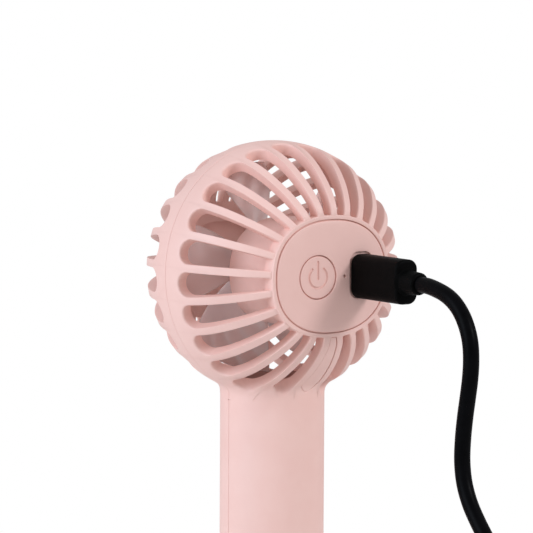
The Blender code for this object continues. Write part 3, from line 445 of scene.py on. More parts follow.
def cage_tile(number, side, hub_back):
    """One slot with half of the rib on each side of it, as a closed wall that is open to its neighbours.

    Rows run along the slot's edge. Columns run from the tile's border over the inner skin to the slot,
    up the slot's wall, round its edge and over the outer skin back to the border.
    """
    (edge_clock, edge_angle), (border_clock, border_angle) = slot_edges(*slot_span(number))
    middle_angle = (edge_angle + border_angle) / 2
    turn_width = (border_clock - edge_clock) * np.cos(middle_angle)
    width = BALL_RADIUS * np.hypot(turn_width, border_angle - edge_angle)
    radius = 0.16 * MM if number == COVERED_SLOT and side > 0 else SLOT_EDGE
    edge_in, border_in = edge_rows(radius), edge_rows(SEAM_ROUND)[::-1]
    share_plain = np.linspace(0, 1, 7)[1:-1]
    width = width[:, None]
    across = np.concatenate([
        edge_in / width,
        (radius + (width - radius - SEAM_ROUND) * share_plain) / width,
        1 - border_in / width,
    ], 1)

    def between(share):
        return (
            edge_clock[:, None] + (border_clock - edge_clock)[:, None] * share,
            edge_angle[:, None] + (border_angle - edge_angle)[:, None] * share,
        )

    clocks, angles = between(across)
    above_seam = BALL_RADIUS * np.sin(angles) - SEAM
    fall = np.zeros(across.shape[1])
    fall[:len(edge_in)] = radius - np.sqrt(np.maximum(radius ** 2 - (radius - edge_in) ** 2, 0))
    outer = outer_reach(clocks, angles, side) - edge_drop(above_seam, SEAM_ROUND) - fall
    inside_hub = oval_radius(HUB_RIM, clocks) - outer * np.cos(angles)
    outer = outer - 1.5 * np.maximum(inside_hub - 0.12 * MM, 0)
    skin = from_head(clocks, angles, outer, side)
    in_clocks, in_angles = between(np.linspace(1, 0, 5)[None, :])
    inner = inner_reach(in_angles, hub_back)
    lining = from_head(in_clocks, in_angles, inner, side)
    wall_reach = (inner[:, -1] + outer[:, 0]) / 2
    wall = from_head(edge_clock, edge_angle, wall_reach, side)[:, None]
    points = np.concatenate([lining, wall, skin], 1)

    rows, columns = points.shape[:2]
    keep = np.ones((rows - 1, columns), bool)
    keep[:, -1] = False
    start = (rows - END_STEPS) // 2
    keep[start:start + END_STEPS - 1, -1] = True
    spots, faces = surface(points, wrap_columns=True, keep=keep)
    return spots, faces + end_faces(points)


def hub_ring(side, hub_back, ledge):
    """The oval ring that the ribs run into: an oval profile whose half axes shrink step by step."""
    inset, ledge_inset = (HUB_RIM - CAP_SEAT)[0], (HUB_RIM - LEDGE_OVAL)[0]
    back = hub_back + 0.05 * MM      # clear of the ribs' inner skin, so no two faces share a plane
    section = rounded([
        (0, back), (0, HUB_FACE), (inset, HUB_FACE), (inset, ledge),
        (ledge_inset, ledge), (ledge_inset, back), (0.05 * MM, back),
    ], 0.26 * MM, 6)
    return oval_loft([(HUB_RIM - step, along) for step, along in section], side, wrap_rows=True)


def oval_loft(sections, side, wrap_rows=False, sides=220):
    """Ovals of given half axes, each at its distance along the fan's axis, joined in a row."""
    clock = 2 * math.pi * np.arange(sides) / sides
    rings = []
    for halves, along in sections:
        radius = oval_radius(halves, clock) if min(halves) > 0 else 0 * clock
        ring = (radius * np.sin(clock), side * along + 0 * clock, radius * np.cos(clock))
        rings.append(HEAD + np.stack(ring, -1))
    return surface(np.array(rings), wrap_rows=wrap_rows, wrap_columns=True)


def handle_half(side):
    """Half of the handle: a half ring in section, its parting edges rounded, drawn down the handle."""
    steps = 121
    lip = np.linspace(0, math.pi / 2, 5)
    lip_x = HANDLE_RADIUS - SEAM_ROUND * (1 - np.sin(lip))
    lip_y = SEAM + SEAM_ROUND * (1 - np.cos(lip))
    start = math.asin((SEAM + SEAM_ROUND) / HANDLE_RADIUS)
    turn = np.linspace(start, math.pi - start, steps - 8)
    outer = np.concatenate([
        np.stack([lip_x, lip_y], -1)[:-1],
        HANDLE_RADIUS * np.stack([np.cos(turn), np.sin(turn)], -1),
        np.stack([-lip_x, lip_y], -1)[::-1][1:],
    ])
    inner_turn = np.linspace(math.asin(SEAM / HANDLE_BORE), math.pi - math.asin(SEAM / HANDLE_BORE), steps)
    inner = HANDLE_BORE * np.stack([np.cos(inner_turn), np.sin(inner_turn)], -1)
    foot_round = edge_rows(0.25 * MM)
    plain = np.linspace(HANDLE_FOOT + 4 * MM, HEAD[2] - THROAT_DROP, 12)
    heights = np.concatenate([HANDLE_FOOT + foot_round, plain])
    fall = edge_drop(np.concatenate([foot_round, np.full(12, 1.0)]), 0.25 * MM)
    shrink = 1 - fall / HANDLE_RADIUS
    rings = []
    for height, scale in zip(heights, shrink):
        loop = np.concatenate([outer * scale, inner[::-1]])
        rings.append(np.stack([loop[:, 0], side * np.maximum(loop[:, 1], SEAM), height + 0 * loop[:, 0]], -1))
    spots, faces = surface(np.array(rings), wrap_columns=True)
    for row in (0, len(heights) - 1):
        first = row * 2 * steps
        last = first + 2 * steps - 1
        faces += [[first + i, first + i + 1, last - 1 - i, last - i] for i in range(steps - 1)]
    return spots, faces


def make_shell(tag, side, hub, material):
    """One moulding of the casing: its half of the cage, the hub ring and its half of the handle."""
    surfaces = [cage_tile(number, side, hub[0]) for number in range(SLOT_COUNT)]
    surfaces += [hub_ring(side, *hub), handle_half(side)]
    add_piece(f"{tag}_moulding", surfaces, material, "housing", [f"{tag}_shell"])


def make_wire_cover(material):
    """Panel in the slot at six o'clock: the slot's own outline set in a little, just under the ribs' skin."""
    clock, half_pitch = slot_span(COVERED_SLOT)
    clearance, aside = 0.17 * MM, 0.11 * MM
    edge, sunk, thickness = 0.16 * MM, 0.05 * MM, 1.7 * MM
    middle = slot_middle(clock, half_pitch)
    rim = float(hub_angle(np.array([clock]), -clearance)[0])
    end = float(slot_half_width(middle, half_pitch)) - clearance
    sweep = np.linspace(0, math.pi / 2, 26)[1:]
    straight = np.linspace(rim, middle, 30)
    rows = np.concatenate([straight, middle - end * np.sin(sweep[:-1]) / BALL_RADIUS])
    half = np.concatenate([slot_half_width(straight, half_pitch) - clearance, end * np.cos(sweep[:-1])])
    soft = edge_rows(0.12, 4)
    share = np.concatenate([-1 + soft, np.linspace(-0.82, 0.82, 9), 1 - soft[::-1]])
    angle = rows[:, None] + 0 * share
    across = half[:, None] * share
    past = np.maximum(middle - angle, 0) * BALL_RADIUS
    inside = np.where(past > 0, end - np.hypot(across, past), half[:, None] - np.abs(across))
    clocks = clock + (across - aside) / (BALL_RADIUS * np.cos(angle))
    reach = outer_reach(clocks, angle) - sunk
    top = from_head(clocks, angle, reach - edge_drop(np.maximum(inside, 0), edge), 1)
    under = from_head(clocks, angle, reach - thickness, 1)
    loops = np.concatenate([top, under[:, ::-1]], 1)
    spots, faces = surface(loops, wrap_columns=True)
    panel = spots, faces + end_faces(loops)
    add_piece("wire_cover_panel", [panel], material, "housing", ["wire_cover"])


# ---- hub cap and button ----
def dome(x, z):
    """Height of the cap's crown above the parting plane: a shallow bowl turned over."""
    return CAP_CROWN - CAP_DISH * ((x / CAP_OVAL[0]) ** 2 + (z / CAP_OVAL[1]) ** 2)


def below_cap_edge(x, z):
    """Distance in from the cap's oval edge."""
    clock = np.arctan2(x, z)
    return np.maximum(oval_radius(CAP_OVAL, clock) - np.hypot(x, z), 0)


def cap_line_end(x):
    """Height at which the oval's edge crosses the upright line at x."""
    return CAP_OVAL[1] * (1 - (abs(x) / CAP_OVAL[0]) ** OVAL_POWER) ** (1 / OVAL_POWER)


def cap_border(left, right):
    """Closed loop round the stretch of the cap between two upright lines, as x and z arrays.

    A line at the oval's own end has no length and is left out. Samples crowd towards the edge, where
    the cap is rounded.
    """
    ease = 0.5 - 0.5 * np.cos(np.linspace(0, math.pi, 41))
    parts = []
    if right < CAP_OVAL[0]:
        end = cap_line_end(right)
        parts.append((np.full(40, right), (-end + 2 * end * ease)[:-1]))
    clock_right = math.atan2(right, cap_line_end(right)) if right < CAP_OVAL[0] else math.pi / 2
    clock_left = math.atan2(left, cap_line_end(left)) if left > -CAP_OVAL[0] else -math.pi / 2
    turn = np.linspace(clock_right, clock_left, 91)
    top_radius = oval_radius(CAP_OVAL, turn)
    top = (top_radius * np.sin(turn), top_radius * np.cos(turn))
    parts.append((top[0][:-1], top[1][:-1]))
    if left > -CAP_OVAL[0]:
        end = cap_line_end(left)
        parts.append((np.full(40, left), (end - 2 * end * ease)[:-1]))
    parts.append((top[0][::-1][:-1], -top[1][::-1][:-1]))
    return np.concatenate([x for x, _ in parts]), np.concatenate([z for _, z in parts])


def rounded_box_edge(direction, half_x, half_z, corner):
    """Distance from the middle to the edge of a rectangle with round corners, along a direction."""
    c, s = np.abs(np.cos(direction)), np.abs(np.sin(direction))
    flat_x, flat_z = half_x - corner, half_z - corner
    straight = np.minimum(half_x / np.maximum(c, 1e-9), half_z / np.maximum(s, 1e-9))
    toward = flat_x * c + flat_z * s
    bend = toward + np.sqrt(np.maximum(toward ** 2 - flat_x ** 2 - flat_z ** 2 + corner ** 2, 0))
    at_corner = (bend * c > flat_x) & (bend * s > flat_z)
    return np.where(at_corner, bend, straight)


def cap_patch(left, right, hole_x, hole_edge, floor=None):
    """Part of the cap round one hole. Columns run round the hole, and rows from its foot up its wall,
    round its edge, out over the crown to the border, and back under the cap.

    hole_edge gives the hole's radius along a direction. With a floor of (height, inner edge) the
    hole is a recess that steps in to a smaller opening.
    """
    edge = 0.16 * MM
    border_x, border_z = cap_border(left, right)
    direction = np.arctan2(border_z, border_x - hole_x)
    hole = hole_edge(direction)
    border = np.hypot(border_x - hole_x, border_z)
    steps = np.linspace(0, 1, 9)[1:-1]
    rim = edge_rows(CAP_ROUND)[::-1]
    reach = np.concatenate([
        hole + edge_rows(edge)[:, None],
        hole + edge + (border - hole - edge - CAP_ROUND) * steps[:, None],
        border - rim[:, None],
    ])
    x, z = hole_x + reach * np.cos(direction), reach * np.sin(direction)
    fall = np.zeros(len(reach))
    fall[:5] = edge_drop(edge_rows(edge), edge)
    top = dome(x, z) - fall[:, None] - edge_drop(below_cap_edge(x, z), CAP_ROUND)

    def ring(radius, height):
        return np.stack([
            HEAD[0] + hole_x + radius * np.cos(direction), HEAD[1] + height + 0 * direction,
            HEAD[2] + radius * np.sin(direction),
        ], -1)[None]

    crown = np.stack([HEAD[0] + x, HEAD[1] + top, HEAD[2] + z], -1)
    if floor:
        height, opening = floor
        foot = [ring(opening(direction), CAP_BACK), ring(opening(direction), height), ring(hole, height)]
    else:
        foot = [ring(hole, CAP_BACK)]
    on_rim = below_cap_edge(border_x, border_z) < 0.01 * MM
    step, lip = border + np.where(on_rim, 0.22 * MM, 0), CAP_BACK + 0.35 * MM
    points = np.concatenate([*foot, crown, ring(border, lip), ring(step, lip), ring(step, CAP_BACK)])
    keep = np.ones((len(points), len(direction)), bool)
    keep[-4:-1] = on_rim & np.roll(on_rim, -1)
    return surface(points, wrap_rows=True, wrap_columns=True, keep=keep)


def make_hub_cap(material):
    """Cap in three stretches side by side: round the plug's recess, the indicator hole and the button."""
    first_line, second_line = -5.15 * MM, -2.2 * MM

    def recess(direction):
        return rounded_box_edge(direction, PLUG_SHORT / 2 + 0.3 * MM, PLUG_LONG / 2 + 0.3 * MM, 2.8 * MM)

    def mouth(direction):
        return rounded_box_edge(direction, 2.3 * MM, 5.1 * MM, 2.2 * MM)

    def circle(radius):
        return lambda direction: radius + 0 * direction

    patches = [
        cap_patch(-CAP_OVAL[0], first_line, SOCKET_X, recess, (CAP_BACK + 0.5 * MM, mouth)),
        cap_patch(first_line, second_line, LED_X, circle(0.4 * MM)),
        cap_patch(second_line, CAP_OVAL[0], BUTTON_X, circle(BUTTON_RADIUS + 0.3 * MM)),
    ]
    add_piece("rear_cap", patches, material, "housing", ["hub_cap"])


def make_front_cap(material):
    """Plain domed oval plate with a round edge and a flat back."""
    rim = edge_rows(CAP_ROUND)
    insets = np.concatenate([rim, np.linspace(0.6 * MM, CAP_OVAL[1] - 0.02 * MM, 26)])
    sections = [((0.0, 0.0), CAP_BACK), (CAP_OVAL, CAP_BACK)]
    for inset in insets:
        halves = CAP_OVAL - inset
        share = 1 - (1 - inset / CAP_OVAL[1]) ** 2
        crown = CAP_CROWN - CAP_DISH * (1 - share) - edge_drop(inset, CAP_ROUND)
        sections.append((halves, float(crown)))
    sections.append(((0.0, 0.0), CAP_CROWN))
    add_piece("front_plate", [oval_loft(sections, -1)], material, "housing", ["front_cap"])


def symbol_depth(x, z):
    """Depth of the engraved power symbol: a round groove along a broken ring and an upright stroke."""
    ring, opening, stroke_low, stroke_high = 2.78 * MM, math.radians(40), -0.35 * MM, 4.0 * MM
    groove, depth = 0.34 * MM, 0.42 * MM
    clock = np.arctan2(x, z)
    ends = np.hypot(np.abs(x) - ring * math.sin(opening), z - ring * math.cos(opening))
    from_ring = np.where(np.abs(clock) > opening, np.abs(np.hypot(x, z) - ring), ends)
    from_stroke = np.hypot(x, z - np.clip(z, stroke_low, stroke_high))
    near = np.clip(1 - (np.minimum(from_ring, from_stroke) / groove) ** 2, 0, 1)
    return depth * np.sqrt(near)


def make_button(material):
    """Round button with a soft edge, a hidden flange and the power symbol sunk into its face."""
    edge = 0.22 * MM
    sides = 360
    turn = 2 * math.pi * np.arange(sides) / sides
    flat = np.linspace(0, BUTTON_RADIUS - 0.5 * MM, 84)
    radius = np.concatenate([flat, BUTTON_RADIUS - edge_rows(edge, 6)[::-1]])
    radius, turn = grid_patch(radius, turn)
    x, z = radius * np.sin(turn), radius * np.cos(turn)
    face = BUTTON_CROWN - 0.10 * MM * (radius / BUTTON_RADIUS) ** 2
    face = face - symbol_depth(x, z) - edge_drop(BUTTON_RADIUS - radius, edge)
    top = np.stack([BUTTON_X + x, face, z], -1)
    flange = BUTTON_RADIUS + 0.85 * MM
    skirt = [
        (BUTTON_RADIUS, BUTTON_CROWN - 0.75 * MM), (BUTTON_RADIUS + 0.22 * MM, BUTTON_CROWN - 0.75 * MM),
        (BUTTON_RADIUS + 0.22 * MM, CAP_BACK - 0.4 * MM), (flange, CAP_BACK - 0.4 * MM),
        (flange, CAP_BACK - 1.9 * MM), (0, CAP_BACK - 1.9 * MM),
    ]
    below = [
        np.stack([BUTTON_X + r * np.sin(turn[0]), height + 0 * turn[0], r * np.cos(turn[0])], -1)
        for r, height in skirt
    ]
    points = HEAD + np.concatenate([top, np.array(below)])
    add_piece(
        "button_face", [surface(points, wrap_columns=True)], material, "button", ["power_button"],
        crease=50,
    )


def make_pod(material):
    """Oval barrel behind the impeller: rounded front, flat bottom with the shaft's hole, hollow inside."""
    outer, bore = np.array((16.8, 14.3)) * MM, np.array((13.8, 11.3)) * MM
    front, floor, rear, hole = 3.0 * MM, 4.6 * MM, 23.1 * MM, 2.6 * MM
    bend = np.linspace(0, math.pi / 2, 8)
    corner = 1.8 * MM
    sections = [(outer, rear)]
    sections += [(outer - corner * (1 - np.cos(a)), front + corner * (1 - np.sin(a))) for a in bend]
    shaft_hole = np.array((hole, hole))
    sections += [(shaft_hole, front), (shaft_hole, floor), (bore, floor), (bore, rear)]
    barrel = oval_loft(sections, 1, wrap_rows=True)
    add_piece("pod_barrel", [barrel], material, "housing", ["motor_pod"])


# ---- impeller ----
def make_impeller(material):
    """Hub with five wide helical blades.

    A blade's middle surface turns about the axis as it runs from its leading to its trailing edge and
    leans forward from root to tip. Its two faces lie half a thickness along the normal on each side,
    and the thickness falls as a high power towards every free edge, which rounds it.
    """
    count, hub, tip = 5, 8.5 * MM, 28 * MM
    front, rear = -11 * MM, 1.2 * MM
    near_tip = 1 - 0.04 * (1 - np.sin(np.linspace(0.25, math.pi / 2, 5)))
    outward = np.concatenate([np.linspace(0, 0.96, 22), near_tip])
    chord = 0.5 - 0.5 * np.cos(np.linspace(0, math.pi, 34))
    out, along = grid_patch(outward, chord)
    root = hub - 1.0 * MM
    radius = root + (tip - root) * out
    sweep = math.radians(50) * (1 - 0.16 * out ** 4)
    depth = (11.0 - 2.4 * out) * MM
    level = -5.2 * MM - depth * (0.5 - along) - 0.7 * MM * np.sin(math.pi * along) * out
    thickness = 1.15 * MM * (1 - 0.35 * out)
    thickness = thickness * np.sqrt(np.maximum(1 - np.abs(2 * along - 1) ** 10, 0))
    thickness = thickness * np.sqrt(np.maximum(1 - out ** 60, 0))
    surfaces = []
    for blade in range(count):
        turn = 2 * math.pi * blade / count + sweep * (along - 0.5) + math.radians(14) * out
        middle = np.stack([radius * np.sin(turn), level, radius * np.cos(turn)], -1)
        normal = np.cross(np.gradient(middle, axis=0), np.gradient(middle, axis=1))
        normal /= np.linalg.norm(normal, axis=-1, keepdims=True)
        half = normal * thickness[..., None] / 2
        loops = HEAD + np.concatenate([middle + half, (middle - half)[:, ::-1][:, 1:-1]], 1)
        spots, faces = surface(loops, wrap_columns=True)
        surfaces.append((spots, faces + end_faces(loops)))
    bore = 1.05 * MM
    nose = np.linspace(0, math.pi / 2, 9)
    profile = [(bore, rear), (hub - 0.4 * MM, rear), (hub, rear - 0.4 * MM)]
    profile += [(3.5 * MM + 5 * MM * np.cos(a), front + 5 * MM * (1 - np.sin(a))) for a in nose]
    profile += [(bore, front), (bore, rear)]
    surfaces.append(turned(profile, HEAD, 1))
    add_piece("impeller_moulding", surfaces, material, "rotor", ["impeller"], crease=45)


# ---- base ----
def make_base_cap(material):
    """Round plug of the handle's foot: rounded rim, shallow dished underside and a spigot inside."""
    edge, spigot = 0.7 * MM, 11.5 * MM
    profile = [(0, 6 * MM), (spigot - 0.4 * MM, 6 * MM), (spigot, 5.6 * MM), (spigot, 3.0 * MM)]
    profile += [(HANDLE_RADIUS - 0.2 * MM, 3.0 * MM), (HANDLE_RADIUS, 2.8 * MM)]
    bend = np.linspace(0, math.pi / 2, 7)
    profile += [(HANDLE_RADIUS - edge * (1 - np.cos(a)), edge * (1 - np.sin(a))) for a in bend]
    profile += [(11.6 * MM, 0), (11.3 * MM, 0.35 * MM), (0, 0.35 * MM)]
    plug = turned(profile, (0, 0, 0), 0, 128)
    add_piece("base_plug", [plug], material, "housing", ["base_cap"])


# ---- charging lead ----
def smooth_line(knots, steps):
    """Cubic curve through the knots whose slope at each knot is that between its two neighbours."""
    ends = np.concatenate([2 * knots[:1] - knots[1:2], knots, 2 * knots[-1:] - knots[-2:-1]])
    before, start, end, after = (ends[i:len(ends) - 3 + i, None] for i in range(4))
    t = (np.arange(steps) / steps)[None, :, None]
    curve = 0.5 * (
        2 * start + (end - before) * t + (2 * before - 5 * start + 4 * end - after) * t ** 2
        + (3 * start - before - 3 * end + after) * t ** 3
    )
    return np.concatenate([curve.reshape(-1, 3), knots[-1:]])


def lead_path():
    """The cord's centreline: down from the plug, two flat turns of the coil, and the tail."""
    y, z = np.array(DROP_ROUTE).T * MM
    drop = np.stack([SOCKET_X + 0 * y, y, z], -1)
    turn = math.pi + np.linspace(0, 2 * math.pi * COIL_TURNS, 24 * COIL_TURNS + 1)
    radius = COIL_START + COIL_PITCH * (turn - math.pi) / (2 * math.pi)
    coil = np.stack([
        COIL_MIDDLE[0] + radius * np.cos(turn), COIL_MIDDLE[1] + radius * np.sin(turn),
        1.02 * CORD_RADIUS + 0 * turn,
    ], -1)
    tail = np.array(TAIL_ROUTE) * MM
    return smooth_line(np.concatenate([drop, coil, tail]), 6)


def sweep_tube(path, radius, sides=20):
    """Rings of a radius across a path. Each ring's first spoke is square to the path in the plane of a
    guide direction that turns from X, across the hanging stretch, to Z, across the lying one."""
    tangent = np.gradient(path, axis=0)
    tangent /= np.linalg.norm(tangent, axis=1, keepdims=True)
    lying = np.clip((12 * MM - path[:, 2:3]) / (8 * MM), 0, 1)
    guide = (1 - lying) * np.array((1.0, 0, 0)) + lying * np.array((0, 0, 1.0))
    first = guide - (guide * tangent).sum(1, keepdims=True) * tangent
    first /= np.linalg.norm(first, axis=1, keepdims=True)
    second = np.cross(tangent, first)
    turn = 2 * math.pi * np.arange(sides) / sides
    spokes = first[:, None] * np.cos(turn)[:, None] + second[:, None] * np.sin(turn)[:, None]
    points = path[:, None] + radius * spokes
    start, end = (np.repeat(tip[:, None], sides, 1) for tip in (path[:1], path[-1:]))
    return surface(np.concatenate([start, points, end]), wrap_columns=True)


def rounded_bar_ring(half_x, half_z, corner, count=72):
    """Closed outline of a rectangle with round corners, sampled evenly in direction."""
    direction = 2 * math.pi * np.arange(count) / count
    radius = rounded_box_edge(direction, half_x, half_z, corner)
    return radius * np.cos(direction), radius * np.sin(direction)


def soft_bar(half_x, half_z, corner, start, end, edge, spot, taper=0.0):
    """Bar of round-cornered section along Y with quarter-round edges at both ends, flat faces closed."""
    near, far = edge_rows(edge, 7), edge_rows(edge, 7)[::-1]
    sign = 1 if end > start else -1
    along = np.concatenate([start + sign * near, np.linspace(start, end, 12)[1:-1], end - sign * far])
    fall = np.concatenate([edge_drop(near, edge), np.zeros(10), edge_drop(far, edge)])
    rings = []
    for y, drop in zip(along, fall):
        narrow = taper * abs(y - start) / abs(end - start)
        inset = drop + narrow
        x, z = rounded_bar_ring(half_x - inset, half_z - inset, max(corner - drop, 0.3 * MM))
        rings.append(np.stack([x, y + 0 * x, z], -1))
    middle = 0 * rings[0]
    first, last = middle.copy(), middle.copy()
    first[:, 1], last[:, 1] = along[0], along[-1]
    return surface(np.array(spot) + np.array([first, *rings, last]), wrap_columns=True)


def make_lead(black, sheath, steel):
    """The charging lead: cord, plug body and relief at the fan, and the whole far plug."""
    path = lead_path()
    cord = add_piece("lead_cord", [sweep_tube(path, CORD_RADIUS)], sheath, "charging_lead",
                     ["cord_drop", "cord_coil", "cord_tail"])
    socket = HEAD + np.array((SOCKET_X, 0, -PLUG_SAG))
    moulding = soft_bar(PLUG_SHORT / 2, PLUG_LONG / 2, 2.6 * MM, PLUG_FACE, PLUG_BACK, 0.8 * MM, socket)
    body = add_piece("plug_body", [moulding], black, "charging_lead", ["plug_overmold"])
    bend = np.linspace(0, math.pi / 2, 6)
    inside_plug = PLUG_BACK - 0.3 * MM
    collar = [(0, inside_plug), (3.9 * MM, inside_plug), (3.25 * MM, PLUG_BACK + 0.35 * MM)]
    collar += [
        (2.95 * MM - 0.7 * MM * (1 - np.cos(a)), COLLAR_BACK - 0.7 * MM * (1 - np.sin(a))) for a in bend
    ]
    collar.append((0, COLLAR_BACK))
    relief = add_piece(
        "plug_relief", [turned(collar, socket, 1, 64)], black, "charging_lead",
        ["plug_collar"],
    )
    x, y, z = FAR_PLUG
    far_end = (x, y - 5.3 * MM, z)
    far_body = add_piece(
        "far_plug_body", [soft_bar(6.5 * MM, 3.5 * MM, 2 * MM, 0, -21 * MM, 0.9 * MM, far_end)],
        black, "charging_lead", ["usb_a_overmold"],
    )
    ribs = [(0, 0), (2.5 * MM, 0)]
    for step in np.arange(0, 5.0, 1.25) * MM:
        swell = 2.8 * MM + 0.08 * step
        ribs += [(swell, step + 0.15 * MM), (swell, step + 0.7 * MM), (swell - 0.35 * MM, step + 0.85 * MM),
                 (swell - 0.35 * MM, step + 1.15 * MM)]
    ribs += [(3.2 * MM, 5.0 * MM), (3.2 * MM, 5.4 * MM), (0, 5.4 * MM)]
    far_relief = add_piece(
        "far_plug_relief", [turned(ribs, (x, y, z), -1, 48)], black, "charging_lead",
        ["usb_a_collar"],
    )
    sleeve = plug_sleeve((x, y - 26.6 * MM, z))
    far_shell = add_piece("far_plug_shell", [sleeve], steel, "charging_lead", ["usb_a_shell"])


def plug_sleeve(spot):
    """Flat steel sleeve of the far plug: outer skin, rounded mouth and inner skin, closed at the back."""
    half_x, half_z, wall, length = 6.0 * MM, 2.25 * MM, 0.3 * MM, 12 * MM
    rings = []
    lip, floor = 0.1 * MM, 0.4 * MM
    for inset, along in ((0, 0), (0, length - lip), (lip, length), (wall, length), (wall, floor)):
        x, z = rounded_bar_ring(half_x - inset, half_z - inset, 0.5 * MM, 64)
        rings.append(np.stack([x, -along + 0 * x, z], -1))
    first, last = 0 * rings[0], 0 * rings[0]
    last[:, 1] = -floor
    return surface(np.array(spot) + np.array([first, *rings, last]), wrap_columns=True)


# ---- materials ----
def colour(code):
    """Linear colour from an sRGB hex code."""
    parts = [int(code[i:i + 2], 16) / 255 for i in (1, 3, 5)]
    return (*[p / 12.92 if p <= 0.04045 else ((p + 0.055) / 1.055) ** 2.4 for p in parts], 1)


def add(tree, kind, inputs, **settings):
    """Add a node; an input is a number, a colour, or the node or socket that feeds it."""
    node = tree.nodes.new(kind)
    for name, value in settings.items():
        setattr(node, name, value)
    for name, value in inputs.items():
        if isinstance(value, bpy.types.Node):
            value = value.outputs[0]
        if isinstance(value, bpy.types.NodeSocket):
            tree.links.new(value, node.inputs[name])
        else:
            node.inputs[name].default_value = value
    return node


def new_material(name, base, roughness, **sockets):
    """Principled material; returns it with its tree, its shader and the piece's own coordinates."""
    material = bpy.data.materials.new(name)
    material.use_nodes = True
    tree = material.node_tree
    shader = tree.nodes["Principled BSDF"]
    shader.inputs["Base Color"].default_value = colour(base)
    shader.inputs["Roughness"].default_value = roughness
    for socket, value in sockets.items():
        shader.inputs[socket.replace("_", " ")].default_value = value
    return material, tree, shader, add(tree, "ShaderNodeTexCoord", {}).outputs["Object"]


def mottle(tree, shader, where, base, other, scale, share=1.0):
    """Cloudy change between two colours of the same stuff, with a cloud size of about 1 / scale."""
    clouds = {"Vector": where, "Scale": scale, "Detail": 3.0, "Roughness": 0.6}
    noise = add(tree, "ShaderNodeTexNoise", clouds)
    spread = {"Value": noise, "From Min": 0.35, "From Max": 0.65, "To Max": share}
    ramp = add(tree, "ShaderNodeMapRange", spread)
    mix = add(tree, "ShaderNodeMix", {"Factor": ramp}, data_type="RGBA")
    mix.inputs[6].default_value, mix.inputs[7].default_value = colour(base), colour(other)
    tree.links.new(mix.outputs[2], shader.inputs["Base Color"])
    return noise


def grain(tree, shader, where, size, height, low, high, detail=2.0):
    """Fine surface texture of a grain size and height in metres; roughness follows it a little."""
    noise = add(tree, "ShaderNodeTexNoise", {"Vector": where, "Scale": 1 / size, "Detail": detail})
    bump = add(tree, "ShaderNodeBump", {"Height": noise, "Strength": 1.0, "Distance": height})
    tree.links.new(bump.outputs[0], shader.inputs["Normal"])
    spread = {"Value": noise, "From Min": 0.3, "From Max": 0.7, "To Min": low, "To Max": high}
    rough = add(tree, "ShaderNodeMapRange", spread)
    tree.links.new(rough.outputs[0], shader.inputs["Roughness"])
    return noise


def pink_abs(name, base="#F2CABF", shade="#F0C6BB"):
    """ABS moulded against a spark-eroded tool: the fine matte grain spreads every highlight."""
    material, tree, shader, where = new_material(name, base, 0.48, IOR=1.53)
    mottle(tree, shader, where, base, shade, 1 / (9 * MM))
    grain(tree, shader, where, 0.28 * MM, 0.012 * MM, 0.44, 0.54)
    return material


def smoke_plastic():
    """Clear grey-pink styrene acrylonitrile from a polished tool: light passes, edges look denser."""
    material, tree, shader, where = new_material(
        "smoke_styrene", "#FBEAE6", 0.22, IOR=1.35, Transmission_Weight=0.42
    )
    grain(tree, shader, where, 3.0 * MM, 0.02 * MM, 0.12, 0.2)
    return material


def black_elastomer():
    """Thermoplastic elastomer of a plug body, moulded with a satin grain: soft, broad highlights."""
    material, tree, shader, where = new_material(
        "black_elastomer", "#030303", 0.5, IOR=1.5, Specular_IOR_Level=0.03
    )
    mottle(tree, shader, where, "#050505", "#070707", 1 / (3 * MM))
    grain(tree, shader, where, 0.3 * MM, 0.02 * MM, 0.42, 0.56)
    return material


def black_sheath():
    """Extruded PVC: smoother than the plug, with faint lengthwise unevenness from the die."""
    material, tree, shader, where = new_material(
        "black_sheath", "#040404", 0.42, IOR=1.54, Specular_IOR_Level=0.03
    )
    mottle(tree, shader, where, "#050506", "#08080A", 1 / (4 * MM))
    grain(tree, shader, where, 0.5 * MM, 0.012 * MM, 0.34, 0.44)
    return material


def drawn_metal(name, base, rough, along=(1, 1, 1), size=0.4):
    """Sheet or bar metal: drawing lines lie along one axis and stretch the highlight across them."""
    material, tree, shader, where = new_material(name, base, rough, Metallic=1.0)
    mapping = add(tree, "ShaderNodeMapping", {"Vector": where, "Scale": along})
    noise = grain(tree, shader, mapping.outputs[0], size * MM, 0.004 * MM, rough - 0.06, rough + 0.08)
    noise.inputs["Detail"].default_value = 4.0
    return material


def plain_moulding(name, base, other, rough, size=0.4, height=0.01, **sockets):
    """Small moulded or pressed part: two close colours and a fine grain."""
    material, tree, shader, where = new_material(name, base, rough, **sockets)
    mottle(tree, shader, where, base, other, 1 / (2 * MM))
    grain(tree, shader, where, size * MM, height * MM, rough - 0.05, rough + 0.06)
    return material


def foam_rubber():
    """Closed-cell foam: round pits of about half a millimetre break up the light."""
    material, tree, shader, where = new_material("cell_foam", "#26262A", 0.95)
    cells = add(tree, "ShaderNodeTexVoronoi", {"Vector": where, "Scale": 1 / (0.6 * MM)})
    bump = add(tree, "ShaderNodeBump", {"Height": cells, "Strength": 1.0, "Distance": 0.15 * MM})
    tree.links.new(bump.outputs[0], shader.inputs["Normal"])
    return material


def painted_board():
    """Matt white paint on a smooth board, so that the fan's shadow is soft and neutral."""
    material, tree, shader, where = new_material("white_table_paint", "#F4F3F1", 0.7)
    grain(tree, shader, where, 2 * MM, 0.02 * MM, 0.65, 0.75)
    return material


def refinish(finishes):
    """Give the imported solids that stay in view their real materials."""
    for material, names in finishes:
        for name in names:
            for slot in frame["nodes"][name].material_slots:
                slot.material = material


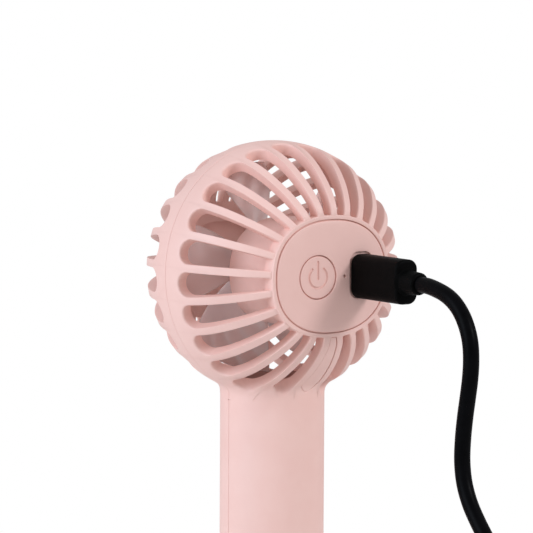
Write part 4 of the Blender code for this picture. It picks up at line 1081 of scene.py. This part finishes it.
def main():
    """Camera and lead first, then the casing, the moving pieces, the finishes and the studio."""
    add_camera()
    black, sheath = black_elastomer(), black_sheath()
    stainless = drawn_metal("drawn_stainless", "#C9C8C4", 0.3, (1, 0.05, 1))
    make_lead(black, sheath, stainless)
    pink, pink_panel = pink_abs("pink_abs"), pink_abs("pink_abs_cap", "#F0C6BB", "#EEC3B8")
    make_shell("rear", 1, REAR_HUB, pink)
    make_shell("front", -1, FRONT_HUB, pink)
    make_wire_cover(pink)
    make_hub_cap(pink_panel)
    make_front_cap(pink_panel)
    make_button(pink_panel)
    make_pod(pink)
    make_impeller(smoke_plastic())
    make_base_cap(pink)
    refinish((
        (stainless, ["plug_shell", "usb_socket"]),
        (drawn_metal("motor_steel", "#B4B4B0", 0.32, (1, 0.08, 1)), [
            "motor_can", "motor_shaft", "rotor_core",
        ]),
        (drawn_metal("screw_steel", "#A9A8A4", 0.28), [
            "board_screw_1", "board_screw_2", "motor_screw_1", "motor_screw_2",
            "pod_screw_1", "pod_screw_2", "pod_screw_3",
        ]),
        (drawn_metal("nickel_strip", "#C2BCB0", 0.34, (1, 1, 0.1)), [
            "motor_terminal_1", "motor_terminal_2", "negative_tab", "positive_tab",
        ]),
        (drawn_metal("turned_brass", "#C9A25A", 0.25), ["shaft_collar"]),
        (drawn_metal("sintered_bronze", "#9A7143", 0.5), ["front_bush", "rear_bush"]),
        (drawn_metal("enamelled_copper", "#B56A3C", 0.35, (1, 1, 0.2)), [
            "brush_1", "brush_2", "commutator", "winding_1", "winding_2", "winding_3",
        ]),
        (plain_moulding("sintered_ferrite", "#2B2B2E", "#343437", 0.7, 0.3, 0.03), [
            "magnet_1", "magnet_2", "power_inductor",
        ]),
        (plain_moulding("black_epoxy", "#1A1A1C", "#202023", 0.5), [
            "charge_chip", "switch_body", "usb_tongue",
        ]),
        (plain_moulding("solder_mask", "#1E6B3A", "#1A6034", 0.28, 1.2, 0.02, Coat_Weight=0.5), [
            "control_board",
        ]),
        (plain_moulding("natural_nylon", "#E6E2D6", "#DDD8CA", 0.42), [
            "motor_end_bell", "switch_plunger", "status_led",
        ]),
        (plain_moulding("cell_sleeve", "#2F6FA8", "#2B679D", 0.24, 2.0, 0.02, Coat_Weight=0.4), [
            "battery_cell",
        ]),
        (foam_rubber(), ["bottom_foam_pad", "lower_foam_ring", "upper_foam_ring"]),
        (plain_moulding("red_insulation", "#B8211C", "#AC1E1A", 0.4), ["battery_wire_red"]),
        (plain_moulding("black_insulation", "#161618", "#1B1B1D", 0.42), ["battery_wire_black"]),
    ))
    add_studio()


main()
